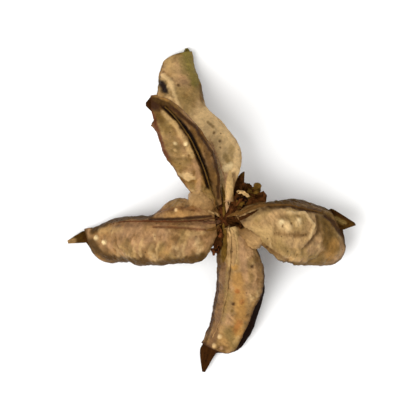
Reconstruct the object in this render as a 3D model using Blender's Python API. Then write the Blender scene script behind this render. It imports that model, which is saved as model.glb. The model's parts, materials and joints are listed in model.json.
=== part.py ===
"""A dried, open, empty cotton boll (a cotton bur), lying face up on a flat surface.

Five woody valves spread like a star from a receptacle on a short stem stub.  Each valve is a
dark husk that ends in a sharp beak, and a pale papery lining that has shrunk away from it and
carries the septum, a thin fin along the valve's midline.  Under the valves sits the dried calyx.

Units are metres and +Z is up.  Sizes in this file are written in millimetres and scaled once.
Run it with: blender --background --python part.py
"""

import math
from dataclasses import dataclass

import bmesh
import bpy
import numpy as np

MM = 0.001

# Thicknesses and clearances, in millimetres
HUSK_THICK = 1.15         # woody wall along the midline
HUSK_EDGE_THICK = 0.65    # woody wall at its margins
HUSK_POINT_SHARE = 0.45   # share of the wall's thickness that is left at the beak's point
LINING_THICK = 0.6        # papery lining
LINING_GAP = 0.3          # the shrunken lining lies this far off the husk
FIN_FOOT = 0.75           # half the septum's thickness where it stands on the lining
FIN_TOP = 0.32            # half the septum's thickness along its free edge
FIN_SHARES = (0.05, 0.12)  # the same two where the valve is narrow, as shares of a half's width
FIN_RISE = 0.6            # how abruptly it rises at its ends; less is more abrupt
FIN_PEAK = 0.8            # less than 1 puts its highest place nearer the base
BEAK_POINT = 0.4          # half the width of the beak's point
BEAK_ANGLES = (0, -25)    # degrees above the horizontal at the beak's ridge and at its sides

# Shares of the blade's length, counted along the midline from the receptacle to where the beak starts
LINING_START = 0.02
BEAK_BLEND = (0.90, 1.03)  # the valve's section flattens into the beak's between these shares

# The grid of each valve's surface: shares of the blade's length, closer at its rounded end, and
# shares of a half's width from the midline to the margin
BLADE_STATIONS = [*np.linspace(0, 0.80, 12), 0.86, 0.91, 0.945, 0.972, 0.99, 1.0]
BEAK_STATIONS = [0.3, 0.65, 1.0]  # shares of the beak's own length
ACROSS_PLACES = [0, 0.2, 0.42, 0.63, 0.82, 1.0]
CLOSEST_STATIONS = 0.01

# Slow waves of the dried wall: height, waves along and across a valve, and how the phase counts
WAVES = ((0.2, 19, 2.1, 1.0), (0.13, 31, -4.3, 2.3))
WAVES_AT_MIDLINE = 0.35   # share of the waves' height that is left at the midline
WAVES_END = 0.9           # share of the midline past which the wall is smooth
WAVES_RISE = 0.7          # how abruptly they start and end; less is more abrupt

# Height of the ground above which the valves rest, and how far each one is pared flat there
GROUND = 0.0
FLAT_SPOT_DEPTH = 0.22
CUT_TOLERANCE = 0.001
SAG_ROUNDS = 6

# The column in the middle, the receptacle under it and the stem stub, as (distance down from the
# column's top, radius) along an axis that stands at a place in X and Y and bends towards its cut end
AXIS = (-0.3, -0.6)
COLUMN_TOP_Z = 15.2
AXIS_PROFILE = [
    (0.0, 0.6), (0.5, 1.0), (2.0, 1.4), (2.6, 1.8), (2.9, 4.2), (3.4, 4.8), (4.6, 4.6), (5.6, 3.6),
    (6.4, 2.2), (7.6, 1.55), (9.4, 1.3), (11.2, 1.3), (12.6, 1.45), (13.2, 1.5), (13.7, 1.3),
]
STEM_BEND = (3.4, 4.6)    # how far the stem's cut end lies from the axis, in X and Y
STEM_BEND_START = 6.5     # distance down at which the bend starts
STEM_BEND_POWER = 1.6
STEM_SIDES = 16
STEM_RIDGES = 5
STEM_RIDGE_HEIGHT = 0.05  # as a share of the radius
STEM_TWIST = 0.4          # turn of the ridges, in radians for each millimetre down

# Calyx, a ragged cup round the receptacle with torn lobes that show between the valves
CALYX_PROFILE = [(2.85, 8.45), (4.2, 9.2), (5.4, 10.2), (6.3, 10.7)]  # radius and height, inside
CALYX_THICK = (0.35, -0.65)  # offset of its outer face from its inner one, outward and up
CALYX_RIM = (7.2, 10.6)   # radius and height of the rim between the lobes
CALYX_RIM_ROWS = 3
CALYX_RAGGED = 0.45       # how far the rim wanders
CALYX_CRUMPLE = 0.12      # height of a lobe's folds for each millimetre of its reach
CALYX_SIDES = 72
CALYX_LOBE_POWER = 1.4    # how pointed its lobes are; less is more pointed
CALYX_LOBES = (           # angle from +X and half spread in degrees, reach past the rim, and rise
    (66, 11, 3.2, -0.4),
    (38, 15, 4.2, 0.5),
    (29, 8, 3.8, -1.3),
    (237, 12, 3.7, -1.4),
    (253, 8, 3.0, -0.8),
    (130, 12, 1.0, 0.0),
    (310, 12, 1.2, -0.4),
)

# Colours as linear RGB, and roughness
HUSK_COLOUR = (0.075, 0.032, 0.014)
LINING_COLOUR = (0.40, 0.25, 0.12)
CALYX_COLOUR = (0.13, 0.065, 0.028)
STEM_COLOUR = (0.17, 0.11, 0.045)
HUSK_ROUGHNESS = 0.75
LINING_ROUGHNESS = 0.55
CALYX_ROUGHNESS = 0.85
STEM_ROUGHNESS = 0.8
SHARP_ANGLE = 50          # degrees between faces past which an edge is shaded sharp


@dataclass
class Half:
    """One half of a valve, on one side of its midline; values are evenly spaced from base to blade end.

    reach is how far the half spreads from the midline as seen from above, in millimetres.  lift and
    edge are the angles above the horizontal, in degrees, at which the half leaves the midline and at
    which it ends at its margin.  cover is the share of the husk's width that the lining covers.
    rounding is the share of the blade past which the end is rounded off.
    """

    reach: tuple
    lift: tuple
    edge: tuple
    cover: float = 0.93
    rounding: float = 0.9


@dataclass
class Valve:
    """One valve: route is its midline in millimetres, from the receptacle to the beak's point."""

    name: str
    route: tuple
    left: Half
    right: Half
    beak: float            # length of the beak in millimetres
    beak_half: float       # half its width where it leaves the blade
    fin: float             # greatest height of the septum
    lean: float            # lean of the septum's free edge to the left, per unit of its height
    rests: bool            # whether it sags until it touches the ground
    phase: float           # shifts the waves of its surface
    aim: tuple = ()        # angles from +X of the lines across to its right, if not square to the midline
    lining_end: float = 0.965  # share of the blade at which the lining ends
    sag: float = 0.0       # how far the beak's point has sunk below its place in the route


VALVES = (
    Valve("north",
          route=((0.3, 1.5, 14.2), (-0.3, 8.1, 13.9), (-2.2, 14.0, 13.4), (-4.6, 19.8, 12.4),
                 (-6.8, 25.6, 11.2), (-7.9, 31.0, 10.2), (-8.8, 36.0, 9.4), (-9.9, 41.0, 8.8)),
          left=Half(reach=(0.8, 1.3, 1.6, 2.4, 3.9, 5.6, 8.3, 8.6, 6.2),
                    lift=(5, -20, -10, 20, 22), edge=(-30, -80, -90, -62, -48), rounding=0.96),
          right=Half(reach=(0.8, 1.5, 4.4, 4.7, 3.1, 1.3, 0.8, 0.7, 0.6),
                     lift=(5, 25, 5, -45, -50), edge=(-30, -68, -85, -98, -96)),
          beak=1.2, beak_half=1.2, fin=0.9, lean=0.2, rests=True, phase=0.0, lining_end=0.988),
    Valve("north_west",
          route=((-2.2, 1.1, 14.2), (-4.4, 6.3, 16.2), (-5.9, 10.8, 18.9), (-7.8, 15.3, 21.4),
                 (-10.4, 19.8, 23.4), (-13.4, 23.8, 24.8), (-16.4, 26.3, 25.5), (-19.9, 27.0, 25.6)),
          left=Half(reach=(0.8, 4.4, 5.6, 5.8, 5.9, 5.7, 4.7, 3.6, 2.4),
                    lift=(10, 15, 22, 20, 10), edge=(-20, -60, -70, -70, -60), rounding=0.96),
          right=Half(reach=(0.7, 1.8, 2.9, 3.3, 3.2, 2.8, 2.1, 1.6, 1.0),
                     lift=(5, 5, 10, 10, 0), edge=(-20, -50, -60, -60, -60), rounding=0.94),
          beak=2.0, beak_half=1.35, fin=2.6, lean=0.3, rests=False, phase=1.7),
    Valve("west",
          route=((-2.3, -1.5, 14.2), (-9.9, -2.5, 15.4), (-17.6, -2.9, 14.8), (-24.8, -3.1, 13.2),
                 (-29.4, -3.8, 11.8), (-34.1, -5.4, 11.6), (-39.9, -7.3, 13.0)),
          left=Half(reach=(0.8, 5.4, 8.5, 9.3, 9.3, 9.1, 8.9, 8.9, 8.6),
                    lift=(8, 32, 38, 38, 28), edge=(-22, -66, -76, -78, -74), rounding=0.86),
          right=Half(reach=(0.8, 3.9, 5.3, 3.6, 1.4, 1.2, 1.1, 0.9, 0.6),
                     lift=(8, 12, -45, -50, -50), edge=(-22, -68, -104, -102, -98)),
          beak=5.8, beak_half=1.5, fin=2.2, lean=0.0, rests=True, phase=3.1),
    Valve("south",
          route=((0.5, -3.0, 14.2), (1.3, -8.1, 15.2), (1.3, -13.5, 15.4), (0.6, -18.9, 14.6),
                 (-0.4, -24.3, 13.4), (-2.1, -29.2, 12.0), (-4.4, -34.6, 11.8), (-5.9, -40.1, 13.2)),
          left=Half(reach=(1.0, 4.6, 7.2, 8.2, 8.4, 8.1, 7.6, 7.1, 6.6),
                    lift=(8, 32, 36, 36, 26), edge=(-22, -62, -70, -60, -55), cover=0.86, rounding=0.86),
          right=Half(reach=(0.8, 2.6, 2.9, 2.8, 2.5, 2.3, 2.0, 1.7, 1.2),
                     lift=(5, -15, -30, -35, -40), edge=(-22, -80, -96, -92, -84)),
          beak=5.6, beak_half=1.5, fin=2.2, lean=0.2, rests=True, phase=4.6),
    Valve("east",
          route=((2.0, -1.6, 14.2), (5.9, 0.1, 15.6), (9.9, 1.0, 16.3), (15.8, 0.8, 15.8),
                 (21.2, -0.2, 14.2), (25.6, -1.2, 12.9), (31.3, -3.1, 13.4)),
          left=Half(reach=(0.8, 1.4, 1.3, 1.2, 1.3, 1.5, 1.7, 1.6, 1.2),
                    lift=(0, -40, -55, -50, -45), edge=(-20, -95, -102, -100, -95), cover=0.55),
          right=Half(reach=(6.8, 10.6, 11.7, 12.7, 13.2, 13.1, 12.8, 12.2, 11.4),
                     lift=(8, 30, 38, 36, 20), edge=(-30, -60, -72, -76, -66), rounding=0.84),
          beak=4.6, beak_half=2.8, fin=1.6, lean=0.3, rests=True, phase=5.8, aim=(-51, -72, -85, -85, -62)),
)


def through(values, share):
    """A smooth curve through evenly spaced values or points, read at a share from 0 to 1."""
    values = np.asarray(values, float)
    place = min(max(share, 0.0), 1.0) * (len(values) - 1)
    i = min(int(place), len(values) - 2)
    f = place - i
    before = values[i - 1] if i > 0 else 2 * values[0] - values[1]
    after = values[i + 2] if i + 2 < len(values) else 2 * values[-1] - values[-2]
    a, b = values[i], values[i + 1]
    return 0.5 * (2 * a + (b - before) * f + (2 * before - 5 * a + 4 * b - after) * f**2
                  + (3 * a - before - 3 * b + after) * f**3)


class Midline:
    """A valve's midline by share of its length, with the directions across it."""

    STEPS = 160
    REACH = 0.02           # share of the midline ahead and behind that gives its direction

    def __init__(self, valve):
        shares = np.linspace(0, 1, self.STEPS + 1)
        points = np.array([through(valve.route, s) for s in shares])
        points[:, 2] -= valve.sag * shares
        lengths = np.r_[0, np.cumsum(np.linalg.norm(np.diff(points, axis=0), axis=1))]
        self.aim = valve.aim
        self.points = points
        self.length = lengths[-1]
        self.shares = lengths / self.length
        self.blade = 1 - valve.beak / self.length

    def point(self, share):
        return np.array([np.interp(share, self.shares, self.points[:, k]) for k in range(3)])

    def frame(self, share):
        """Position, the level direction to the left, and the direction out of the valve's inner face."""
        ahead = self.point(min(share + self.REACH, 1)) - self.point(max(share - self.REACH, 0))
        ahead /= np.linalg.norm(ahead)
        left = np.cross((0, 0, 1), ahead)
        if self.aim:
            right = math.radians(through(self.aim, share / self.blade))
            left = np.array([-math.cos(right), -math.sin(right), 0])
        left /= np.linalg.norm(left)
        up = np.cross(ahead, left)
        return self.point(share), left, up / np.linalg.norm(up)


def half_angles(half, along):
    """Angles at the midline and at the margin, in radians; both flatten out where the beak starts."""
    lift, edge = through(half.lift, along), through(half.edge, along)
    flat = min(max((along - BEAK_BLEND[0]) / (BEAK_BLEND[1] - BEAK_BLEND[0]), 0), 1)
    flat = flat * flat * (3 - 2 * flat)
    return (math.radians(lift + (BEAK_ANGLES[0] - lift) * flat),
            math.radians(edge + (BEAK_ANGLES[1] - edge) * flat))


def half_width(valve, half, share, blade):
    """Developed width of one half, which rounds off at the blade's end and passes into the beak."""
    along = share / blade
    lift, edge = half_angles(half, along)
    width = through(half.reach, along) * (lift - edge) / (math.sin(lift) - math.sin(max(edge, -math.pi / 2)))
    if along < half.rounding:
        return width
    over = min((along - half.rounding) / (1 - half.rounding), 1)
    width *= math.sqrt(max(1 - over**2, 0))
    taper = min(max((1 - share) / (1 - blade), 0), 1)
    beak = BEAK_POINT + (valve.beak_half - BEAK_POINT) * taper
    return max(width, beak * min(over * 3, 1))


def waves(valve, share, across):
    """Slow waves of the dried wall, in millimetres out of the inner face; none at the base or the beak."""
    calm = math.sin(math.pi * min(share / WAVES_END, 1)) ** WAVES_RISE
    height = sum(h * math.sin(a * share + b * across + c * valve.phase) for h, a, b, c in WAVES)
    return calm * height * (WAVES_AT_MIDLINE + (1 - WAVES_AT_MIDLINE) * abs(across))


def surface(valve, midline, share, across, half):
    """Point and normal of the husk's inner face; across runs from 0 at the midline to 1 at the margin."""
    side = 1 if half is valve.left else -1
    origin, left, up = midline.frame(share)
    along = share / midline.blade
    width = half_width(valve, half, share, midline.blade)
    lift, edge = half_angles(half, along)
    turn = edge - lift
    angle = lift + turn * across
    out = width * (math.sin(angle) - math.sin(lift)) / turn
    rise = width * (math.cos(lift) - math.cos(angle)) / turn
    normal = -math.sin(angle) * side * left + math.cos(angle) * up
    if across == 0:
        other = valve.right if side > 0 else valve.left
        lean, _ = half_angles(other, along)
        normal = normal + math.sin(lean) * side * left + math.cos(lean) * up
        normal /= np.linalg.norm(normal)
    point = origin + side * out * left + rise * up
    return point + normal * waves(valve, share, side * across), normal


def halves(valve, places):
    """Places across the whole valve, from the left margin to the right, as (half, across) pairs."""
    return ([(valve.left, a) for a in reversed(places)] + [(valve.right, a) for a in places])


def loft(name, rings, colour, roughness):
    """A closed sheet through rings of points; each ring runs along one face and back along the other.

    Both faces are split into triangles alike, so that the sheet keeps its thickness where it is waved.
    """
    count = len(rings[0])
    front = count // 2 - 1
    verts = [tuple(p * MM) for ring in rings for p in ring]
    faces = []
    for r in range(len(rings) - 1):
        for k in range(count):
            n = (k + 1) % count
            a, b, c, d = r * count + k, r * count + n, (r + 1) * count + n, (r + 1) * count + k
            faces += [(a, b, c), (a, c, d)] if k <= front else [(a, b, d), (b, c, d)]
    for start in (0, (len(rings) - 1) * count):
        for k in range(front):
            faces.append((start + k, start + k + 1, start + count - 2 - k, start + count - 1 - k))
    return solid(name, verts, faces, colour, roughness)


def solid(name, verts, faces, colour, roughness):
    """Makes the mesh object, turns its faces outward and gives it its own material."""
    mesh = bpy.data.meshes.new(name)
    mesh.from_pydata(verts, [], faces)
    shape = bmesh.new()
    shape.from_mesh(mesh)
    bmesh.ops.triangulate(shape, faces=shape.faces)
    bmesh.ops.recalc_face_normals(shape, faces=shape.faces)
    shape.to_mesh(mesh)
    shape.free()
    mesh.shade_smooth()
    mesh.set_sharp_from_angle(angle=math.radians(SHARP_ANGLE))
    material = bpy.data.materials.new(name)
    material.use_nodes = True
    shader = material.node_tree.nodes["Principled BSDF"]
    shader.inputs["Base Color"].default_value = (*colour, 1)
    shader.inputs["Roughness"].default_value = roughness
    mesh.materials.append(material)
    made = bpy.data.objects.new(name, mesh)
    bpy.context.scene.collection.objects.link(made)
    return made


def husk_rings(valve, stations, places):
    """Rings of the husk: its inner face from left to right, then its outer face back."""
    midline = Midline(valve)
    rings = []
    for share in stations:
        inner, outer = [], []
        taper = min(max((1 - share) / (1 - midline.blade), 0), 1)
        for half, across in halves(valve, places):
            if half is valve.right and across == 0:
                continue
            point, normal = surface(valve, midline, share, across, half)
            thick = HUSK_THICK + (HUSK_EDGE_THICK - HUSK_THICK) * across**2
            thick *= HUSK_POINT_SHARE + (1 - HUSK_POINT_SHARE) * taper
            inner.append(point)
            outer.append(point - normal * thick)
        rings.append(inner + outer[::-1])
    return rings


def sag_to_ground(valve):
    """Lets a valve sag, most at its tip, until its lowest point is a flat spot's depth under the ground."""
    for _ in range(SAG_ROUNDS):
        rings = husk_rings(valve, *husk_grid(valve))
        lowest = min((p[2], share) for share, ring in zip(husk_grid(valve)[0], rings) for p in ring)
        valve.sag += (lowest[0] - GROUND + FLAT_SPOT_DEPTH) / lowest[1]


def husk_grid(valve):
    """Stations along the husk and its beak, and places across one half of it."""
    blade = Midline(valve).blade
    beak = [blade + (1 - blade) * s for s in BEAK_STATIONS]
    return [a * blade for a in BLADE_STATIONS] + beak, ACROSS_PLACES


def make_husk(valve):
    """The dark woody wall of a valve, with its beak, pared flat where it rests."""
    made = loft("husk_" + valve.name, husk_rings(valve, *husk_grid(valve)), HUSK_COLOUR, HUSK_ROUGHNESS)
    if valve.rests:
        pare_flat(made.data)
    return made


def pare_flat(mesh):
    """Cuts the mesh off at the ground and closes it with a flat face."""
    shape = bmesh.new()
    shape.from_mesh(mesh)
    everything = shape.verts[:] + shape.edges[:] + shape.faces[:]
    cut = bmesh.ops.bisect_plane(shape, geom=everything, dist=CUT_TOLERANCE * MM,
                                 plane_co=(0, 0, GROUND * MM), plane_no=(0, 0, 1), clear_inner=True)
    rim = [e for e in cut["geom_cut"] if isinstance(e, bmesh.types.BMEdge) and e.is_boundary]
    flat = bmesh.ops.holes_fill(shape, edges=rim)["faces"]
    bmesh.ops.triangulate(shape, faces=flat)
    bmesh.ops.recalc_face_normals(shape, faces=shape.faces)
    shape.to_mesh(mesh)
    shape.free()


def fin_height(valve, along):
    """Height of the septum at a share of the lining's length."""
    return valve.fin * max(math.sin(math.pi * along**FIN_PEAK), 0) ** FIN_RISE


def make_lining(valve):
    """The pale papery lining of a valve, with the septum standing along its midline."""
    midline = Midline(valve)
    rings = []
    inside = [s for s in BLADE_STATIONS[1:] if s < valve.lining_end - CLOSEST_STATIONS]
    stations = [LINING_START, *inside, valve.lining_end]
    places = [FIN_TOP, FIN_FOOT, *ACROSS_PLACES[1:]]
    for along in stations:
        share = along * midline.blade
        fin = fin_height(valve, (along - LINING_START) / (valve.lining_end - LINING_START))
        middle, up = surface(valve, midline, share, 0, valve.left)
        _, left, _ = midline.frame(share)
        face, back = [], []
        for half, place, order in lining_places(valve, places):
            width = half_width(valve, half, share, midline.blade)
            if order < 2:
                side = 1 if half is valve.left else -1
                out = min(place, FIN_SHARES[order] * width)
                slope = math.tan(half_angles(half, along)[0]) / 2
                lower = middle + side * left * out + up * (LINING_GAP + out * slope)
                upper = lower + up * LINING_THICK
                if order == 0:
                    upper = upper + up * fin + left * fin * valve.lean
            else:
                point, normal = surface(valve, midline, share, place * half.cover, half)
                lower = point + normal * LINING_GAP
                upper = lower + normal * LINING_THICK
            face.append(upper)
            back.append(lower)
        rings.append(face + back[::-1])
    return loft("lining_" + valve.name, rings, LINING_COLOUR, LINING_ROUGHNESS)


def lining_places(valve, places):
    """Places across the lining, from left to right, as (half, place, order from the midline)."""
    order = range(len(places))
    return ([(valve.left, places[k], k) for k in reversed(order)]
            + [(valve.right, places[k], k) for k in order])


def make_stem():
    """The column in the middle, the receptacle under it and the stem stub, turned round one bent axis."""
    verts, faces = [], []
    end = AXIS_PROFILE[-1][0]
    for down, radius in AXIS_PROFILE:
        bend = (max(down - STEM_BEND_START, 0) / (end - STEM_BEND_START)) ** STEM_BEND_POWER
        centre = np.array([*AXIS, COLUMN_TOP_Z - down]) + bend * np.array([*STEM_BEND, 0])
        for k in range(STEM_SIDES):
            angle = 2 * math.pi * k / STEM_SIDES
            ridged = radius * (1 + STEM_RIDGE_HEIGHT * math.cos(STEM_RIDGES * angle + STEM_TWIST * down))
            verts.append(tuple((centre + ridged * np.array([math.cos(angle), math.sin(angle), 0])) * MM))
    for r in range(len(AXIS_PROFILE) - 1):
        for k in range(STEM_SIDES):
            n = (k + 1) % STEM_SIDES
            ring, above = r * STEM_SIDES, (r + 1) * STEM_SIDES
            faces.append((ring + k, ring + n, above + n, above + k))
    last = (len(AXIS_PROFILE) - 1) * STEM_SIDES
    faces.append(tuple(range(STEM_SIDES)))
    faces.append(tuple(range(last, last + STEM_SIDES)))
    return solid("stem", verts, faces, STEM_COLOUR, STEM_ROUGHNESS)


def lobe_shape(angle):
    """How far the calyx reaches past its rim at an angle in degrees, and how far it rises there."""
    reach = rise = 0.0
    for centre, spread, longest, lift in CALYX_LOBES:
        apart = abs((angle - centre + 180) % 360 - 180) / spread
        if apart < 1 and longest * (1 - apart**CALYX_LOBE_POWER) > reach:
            reach = longest * (1 - apart**CALYX_LOBE_POWER)
            rise = lift * (1 - apart)
    return reach, rise


def make_calyx():
    """The dried calyx, a thin ragged cup whose torn lobes are crumpled."""
    sides = CALYX_SIDES
    rows = len(CALYX_PROFILE) + CALYX_RIM_ROWS
    upper, lower = [], []
    for r in range(rows):
        outward = max(r - len(CALYX_PROFILE) + 1, 0) / CALYX_RIM_ROWS
        for k in range(sides):
            angle = 2 * math.pi * k / sides
            reach, rise = lobe_shape(math.degrees(angle))
            if outward:
                radius, height = CALYX_RIM
                radius += reach + CALYX_RAGGED * (math.cos(5 * angle) + 0.6 * math.sin(17 * angle))
                radius = CALYX_PROFILE[-1][0] + (radius - CALYX_PROFILE[-1][0]) * outward
                height += (rise + CALYX_CRUMPLE * reach * math.sin(5 * outward + 9 * angle)) * outward
            else:
                radius, height = CALYX_PROFILE[r]
            for points, out, down in ((upper, 0, 0), (lower, *CALYX_THICK)):
                points.append(np.array([AXIS[0] + (radius + out) * math.cos(angle),
                                        AXIS[1] + (radius + out) * math.sin(angle), height + down]))
    verts = [tuple(p * MM) for p in upper + lower]
    faces = []
    flip = rows * sides
    for r in range(rows - 1):
        for k in range(sides):
            n = (k + 1) % sides
            for a, b, c in ((k, n, sides + n), (k, sides + n, sides + k)):
                a, b, c = (r * sides + v for v in (a, b, c))
                faces += [(a, b, c), (c + flip, b + flip, a + flip)]
    for start in (0, (rows - 1) * sides):
        for k in range(sides):
            n = (k + 1) % sides
            faces.append((start + k, start + n, start + n + flip, start + k + flip))
    return solid("calyx", verts, faces, CALYX_COLOUR, CALYX_ROUGHNESS)


def centre_on_origin():
    """Moves the whole boll so that the middle of its box stands over the origin."""
    points = np.array([v.co for o in bpy.data.objects for v in o.data.vertices])
    middle = (points.min(0) + points.max(0)) / 2
    for made in bpy.data.objects:
        made.location = (-middle[0], -middle[1], 0)


def main():
    for old in list(bpy.data.objects):
        bpy.data.objects.remove(old)
    for valve in VALVES:
        if valve.rests:
            sag_to_ground(valve)
        make_husk(valve)
        make_lining(valve)
    make_stem()
    make_calyx()
    centre_on_origin()


main()
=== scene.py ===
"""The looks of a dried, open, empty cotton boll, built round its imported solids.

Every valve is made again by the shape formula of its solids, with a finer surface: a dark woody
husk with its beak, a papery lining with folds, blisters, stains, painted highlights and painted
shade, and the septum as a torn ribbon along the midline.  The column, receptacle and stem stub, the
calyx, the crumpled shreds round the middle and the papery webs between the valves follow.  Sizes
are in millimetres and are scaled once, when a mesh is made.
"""

import json
import math
from dataclasses import dataclass

import bmesh
import bpy
import numpy as np
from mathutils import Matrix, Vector, noise
from mathutils.bvhtree import BVHTree

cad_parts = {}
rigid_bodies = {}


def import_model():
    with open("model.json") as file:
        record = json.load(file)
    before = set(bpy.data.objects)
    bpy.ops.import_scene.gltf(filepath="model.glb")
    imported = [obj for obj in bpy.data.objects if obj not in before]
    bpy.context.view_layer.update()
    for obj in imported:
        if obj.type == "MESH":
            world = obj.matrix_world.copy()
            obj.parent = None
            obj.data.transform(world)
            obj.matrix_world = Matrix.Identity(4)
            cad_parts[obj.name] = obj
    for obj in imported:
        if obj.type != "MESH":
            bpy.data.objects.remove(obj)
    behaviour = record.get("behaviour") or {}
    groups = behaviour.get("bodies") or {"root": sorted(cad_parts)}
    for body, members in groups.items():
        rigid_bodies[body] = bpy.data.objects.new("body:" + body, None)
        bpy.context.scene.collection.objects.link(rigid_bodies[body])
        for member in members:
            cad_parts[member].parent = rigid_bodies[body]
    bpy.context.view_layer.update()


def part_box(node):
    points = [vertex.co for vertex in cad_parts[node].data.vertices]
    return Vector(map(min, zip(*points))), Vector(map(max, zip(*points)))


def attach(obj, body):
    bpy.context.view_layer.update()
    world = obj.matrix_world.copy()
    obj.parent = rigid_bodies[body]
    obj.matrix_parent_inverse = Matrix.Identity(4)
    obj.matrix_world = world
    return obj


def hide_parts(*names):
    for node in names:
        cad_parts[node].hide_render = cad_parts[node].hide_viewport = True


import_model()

MM = 0.001

# Places in the photograph: the pixel over the middle of the boll, and the size of a pixel
PHOTO_MIDDLE = (109.5, 143.0)
MM_PER_PIXEL = 0.9

# Thicknesses, in millimetres; the first four are those of the solids
HUSK_THICK = 1.15
HUSK_EDGE_THICK = 0.65
HUSK_POINT_SHARE = 0.45
LINING_TOP = 0.9          # height of the lining's upper face over the husk
LINING_SHEET = 0.34       # thickness of the paper in the middle and at its margins
LINING_RIM = 0.16
LINING_RELIEF = (-0.5, 1.2)  # lowest and highest place of its folds against LINING_TOP
LINING_START = 0.02       # share of the blade at which it begins
STEEP_SHADE_SLOPE = 0.62          # its steep sides get painted shade where their normals' rise is below this
STEEP_SHADE_BLUR = 0.4            # and full painted shade where it is this much lower
LINING_SHADED_BASE = 4.5    # length over which its base is darkened, painted shade deep in the middle
MARGIN_START = 0.86       # shares of the width and of the lining's length past which a margin begins
END_MARGIN_START = 0.97
SEPTUM_FOOT = 0.17        # half the septum's thickness at its foot and at its free edge
SEPTUM_EDGE = 0.07
SEPTUM_SUNK = 0.3         # its foot stands this far below the lining's upper face
SEPTUM_END = 0.9          # share of the blade at which it ends
SEPTUM_LOWEST = 0.05      # height that is left at its deepest tears
RIBBON_THICK = 0.24
BRIDGE_HEIGHT = 11.5      # strips that are laid down don't sink below this height in the gaps
LAYING_ROUNDS = 3         # how often their heights are smoothed
SKY = 50.0                # height from which the places under them are looked for
WELD = 0.0001             # points closer than this become one
BEAK_POINT = 0.4          # half the beak's width at its point
BEAK_ANGLES = (0, -25)    # its angles at the midline and at its margins
BEAK_BLEND = (0.90, 1.03)  # shares of the blade between which a valve takes on the beak's angles
BEAK_JOIN = 3             # how soon the beak is at its width where the blade rounds off
CREASE = 0.9              # half the width over which the two halves of a valve pass into each other

# Slow waves of the dried wall: height, radians along and across a valve, and how the phase counts
WAVES = ((0.2, 19, 2.1, 1.0), (0.13, 31, -4.3, 2.3))
WAVES_AT_MIDLINE = 0.35
WAVES_END = 0.9           # share of the valve at which they end, and the power by which they fade
WAVES_FADE = 0.7

FLAT_SPOT_DEPTH = 0.22    # resting valves reach this far under the ground, before that is cut off
SAG_ROUNDS = 6
SAG_GRID = (60, 21)

# Relief of the husk: size of its lumps and their height
HUSK_EDGE_WAVES = (2.2, 0.14)
HUSK_RIDGES = (1.5, 0.2)
HUSK_LUMPS = (2.2, 0.16)
RIDGE_DRAW = 0.16         # ridges are drawn out along the valve by one over this
HUSK_CALM = 0.5           # share of the relief that the beak and the margins lack
HUSK_PATCHES = 6.0        # size of its patches of colour
BEAK_TINT = (0.93, 0.1)   # share of the blade at which the beak's colour begins, and its fading
HUSK_CROWDING = 0.92      # below 1, stations crowd toward the beak

# Relief of the paper: size of folds, creases and crinkles, their height, the level that they rise
# and sink from, and the octaves of their noise.  Puckers fan out from the midline.
PAPER_FOLDS = ((5.5, 0.6, 0.25, 3), (2.6, -0.42, 0.2, 2), (1.1, -0.24, 0.2, 3))
PUCKER_SIZE, PUCKER_HEIGHT = 1.9, 0.22
PUCKER_SLANT, PUCKER_DRAW = 0.35, 0.28
FOLDS_START = 3.0         # distance from the midline at which folds and puckers are at their height
MARGIN_CALM = 0.7         # share of the relief that the margins lack
FIBRE_SLANT = 0.7         # how far the fibres turn from across the valve to its tip
TORN_MARGIN = (22, 0.025, 0.04)  # tears along the margin, the width they take off, and their depth

# Colour of the paper: size and seed of its warm, green and grey patches
PAPER_PATCHES = ((6.0, 9), (7.0, 12), (4.0, 14))
UNDERSIDE_SHADE = 0.6     # how dark its underside is, beside its top

# The septum's tears, sideways waves, lean and mottling: how many along it, and how strong, which is
# a share of its height, millimetres, degrees and a share of its lightness
SEPTUM_TEARS = (30, 0.3)
SEPTUM_WAVES = (45, 0.16)
SEPTUM_SWAY = (9, 25)
SEPTUM_MOTTLE = (16, 0.4)
SEPTUM_SHADED_BASE = 0.08   # share of its length over which its base is darkened, painted shade deep in the middle
MIDLINE_COLUMNS = (-0.01, 0.0, 0.01)

# How far apart in the noise one seed lies from the next
SEED_STEP = np.array((7.31, 3.77, 5.13))

# Outlines of strokes, the last two as shares of half a stroke's width
STROKE_UNEVEN = 0.35
STROKE_LUMPS = 1.4        # size of the lumps that make them uneven
STROKE_EDGE = 1.35        # a stroke fades out at this distance from its path
STROKE_REACH = 2          # and nothing past this one is looked at

# Strips in the air and laid down: bow across them, power that rounds their ends, and their sway
LOOSE_STRIP = (0.35, 8, 0.7)
LAID_STRIP = (-0.16, 4, 0.0)
STRIP_SWAY_SIZE, STRIP_BOW_SIZE = 2.5, 2.0
STRIP_FOLDS = (0.9, 0.45)  # size of its folds and of the tears along it, and how deep they are
STRIP_TEARS = (0.8, 0.5)
STRIP_NARROWEST = 0.15
STRIP_SHADE = (1.1, 1.6)  # its lightness, and how much its folds change that
STRIP_SHADE_RANGE = (0.35, 1.8)

# How fine the surfaces are: stations along a valve, and places across it
HUSK_GRID = (150, 57)
LINING_GRID = (190, 97)
SEPTUM_GRID = (150, 13)
RIBBON_GRID = (44, 13)

# Receptacle, column and stem, as (distance down from the column's top, radius).  Torn tissue fills
# the corners between the valves' bases, so the top is wider than that of the solid.
AXIS = (-0.3, -0.6)
COLUMN_TOP_Z = 15.2
AXIS_PROFILE = [
    (0.0, 0.0), (0.1, 0.6), (0.3, 1.2), (1.0, 2.4), (1.9, 3.5), (2.7, 4.3), (3.4, 4.8), (4.6, 4.6),
    (5.6, 3.6), (6.4, 2.2), (7.6, 1.55), (9.4, 1.3), (11.2, 1.3), (12.6, 1.45), (13.2, 1.5),
    (13.7, 1.3), (13.7, 0.0),
]
STEM_BEND = (3.4, 4.6)    # how far its end lies to the right of and behind the axis
STEM_BEND_START = 6.5
STEM_BEND_POWER = 1.6
STEM_RIDGES = 5
STEM_RIDGE_HEIGHT = 0.05
STEM_TWIST = 0.4
BARK_HEIGHT = 0.12
BARK_SIZE = 0.7           # width of its lumps, which are drawn out along the stem
BARK_DRAW = (1, 1, 0.3)
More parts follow.
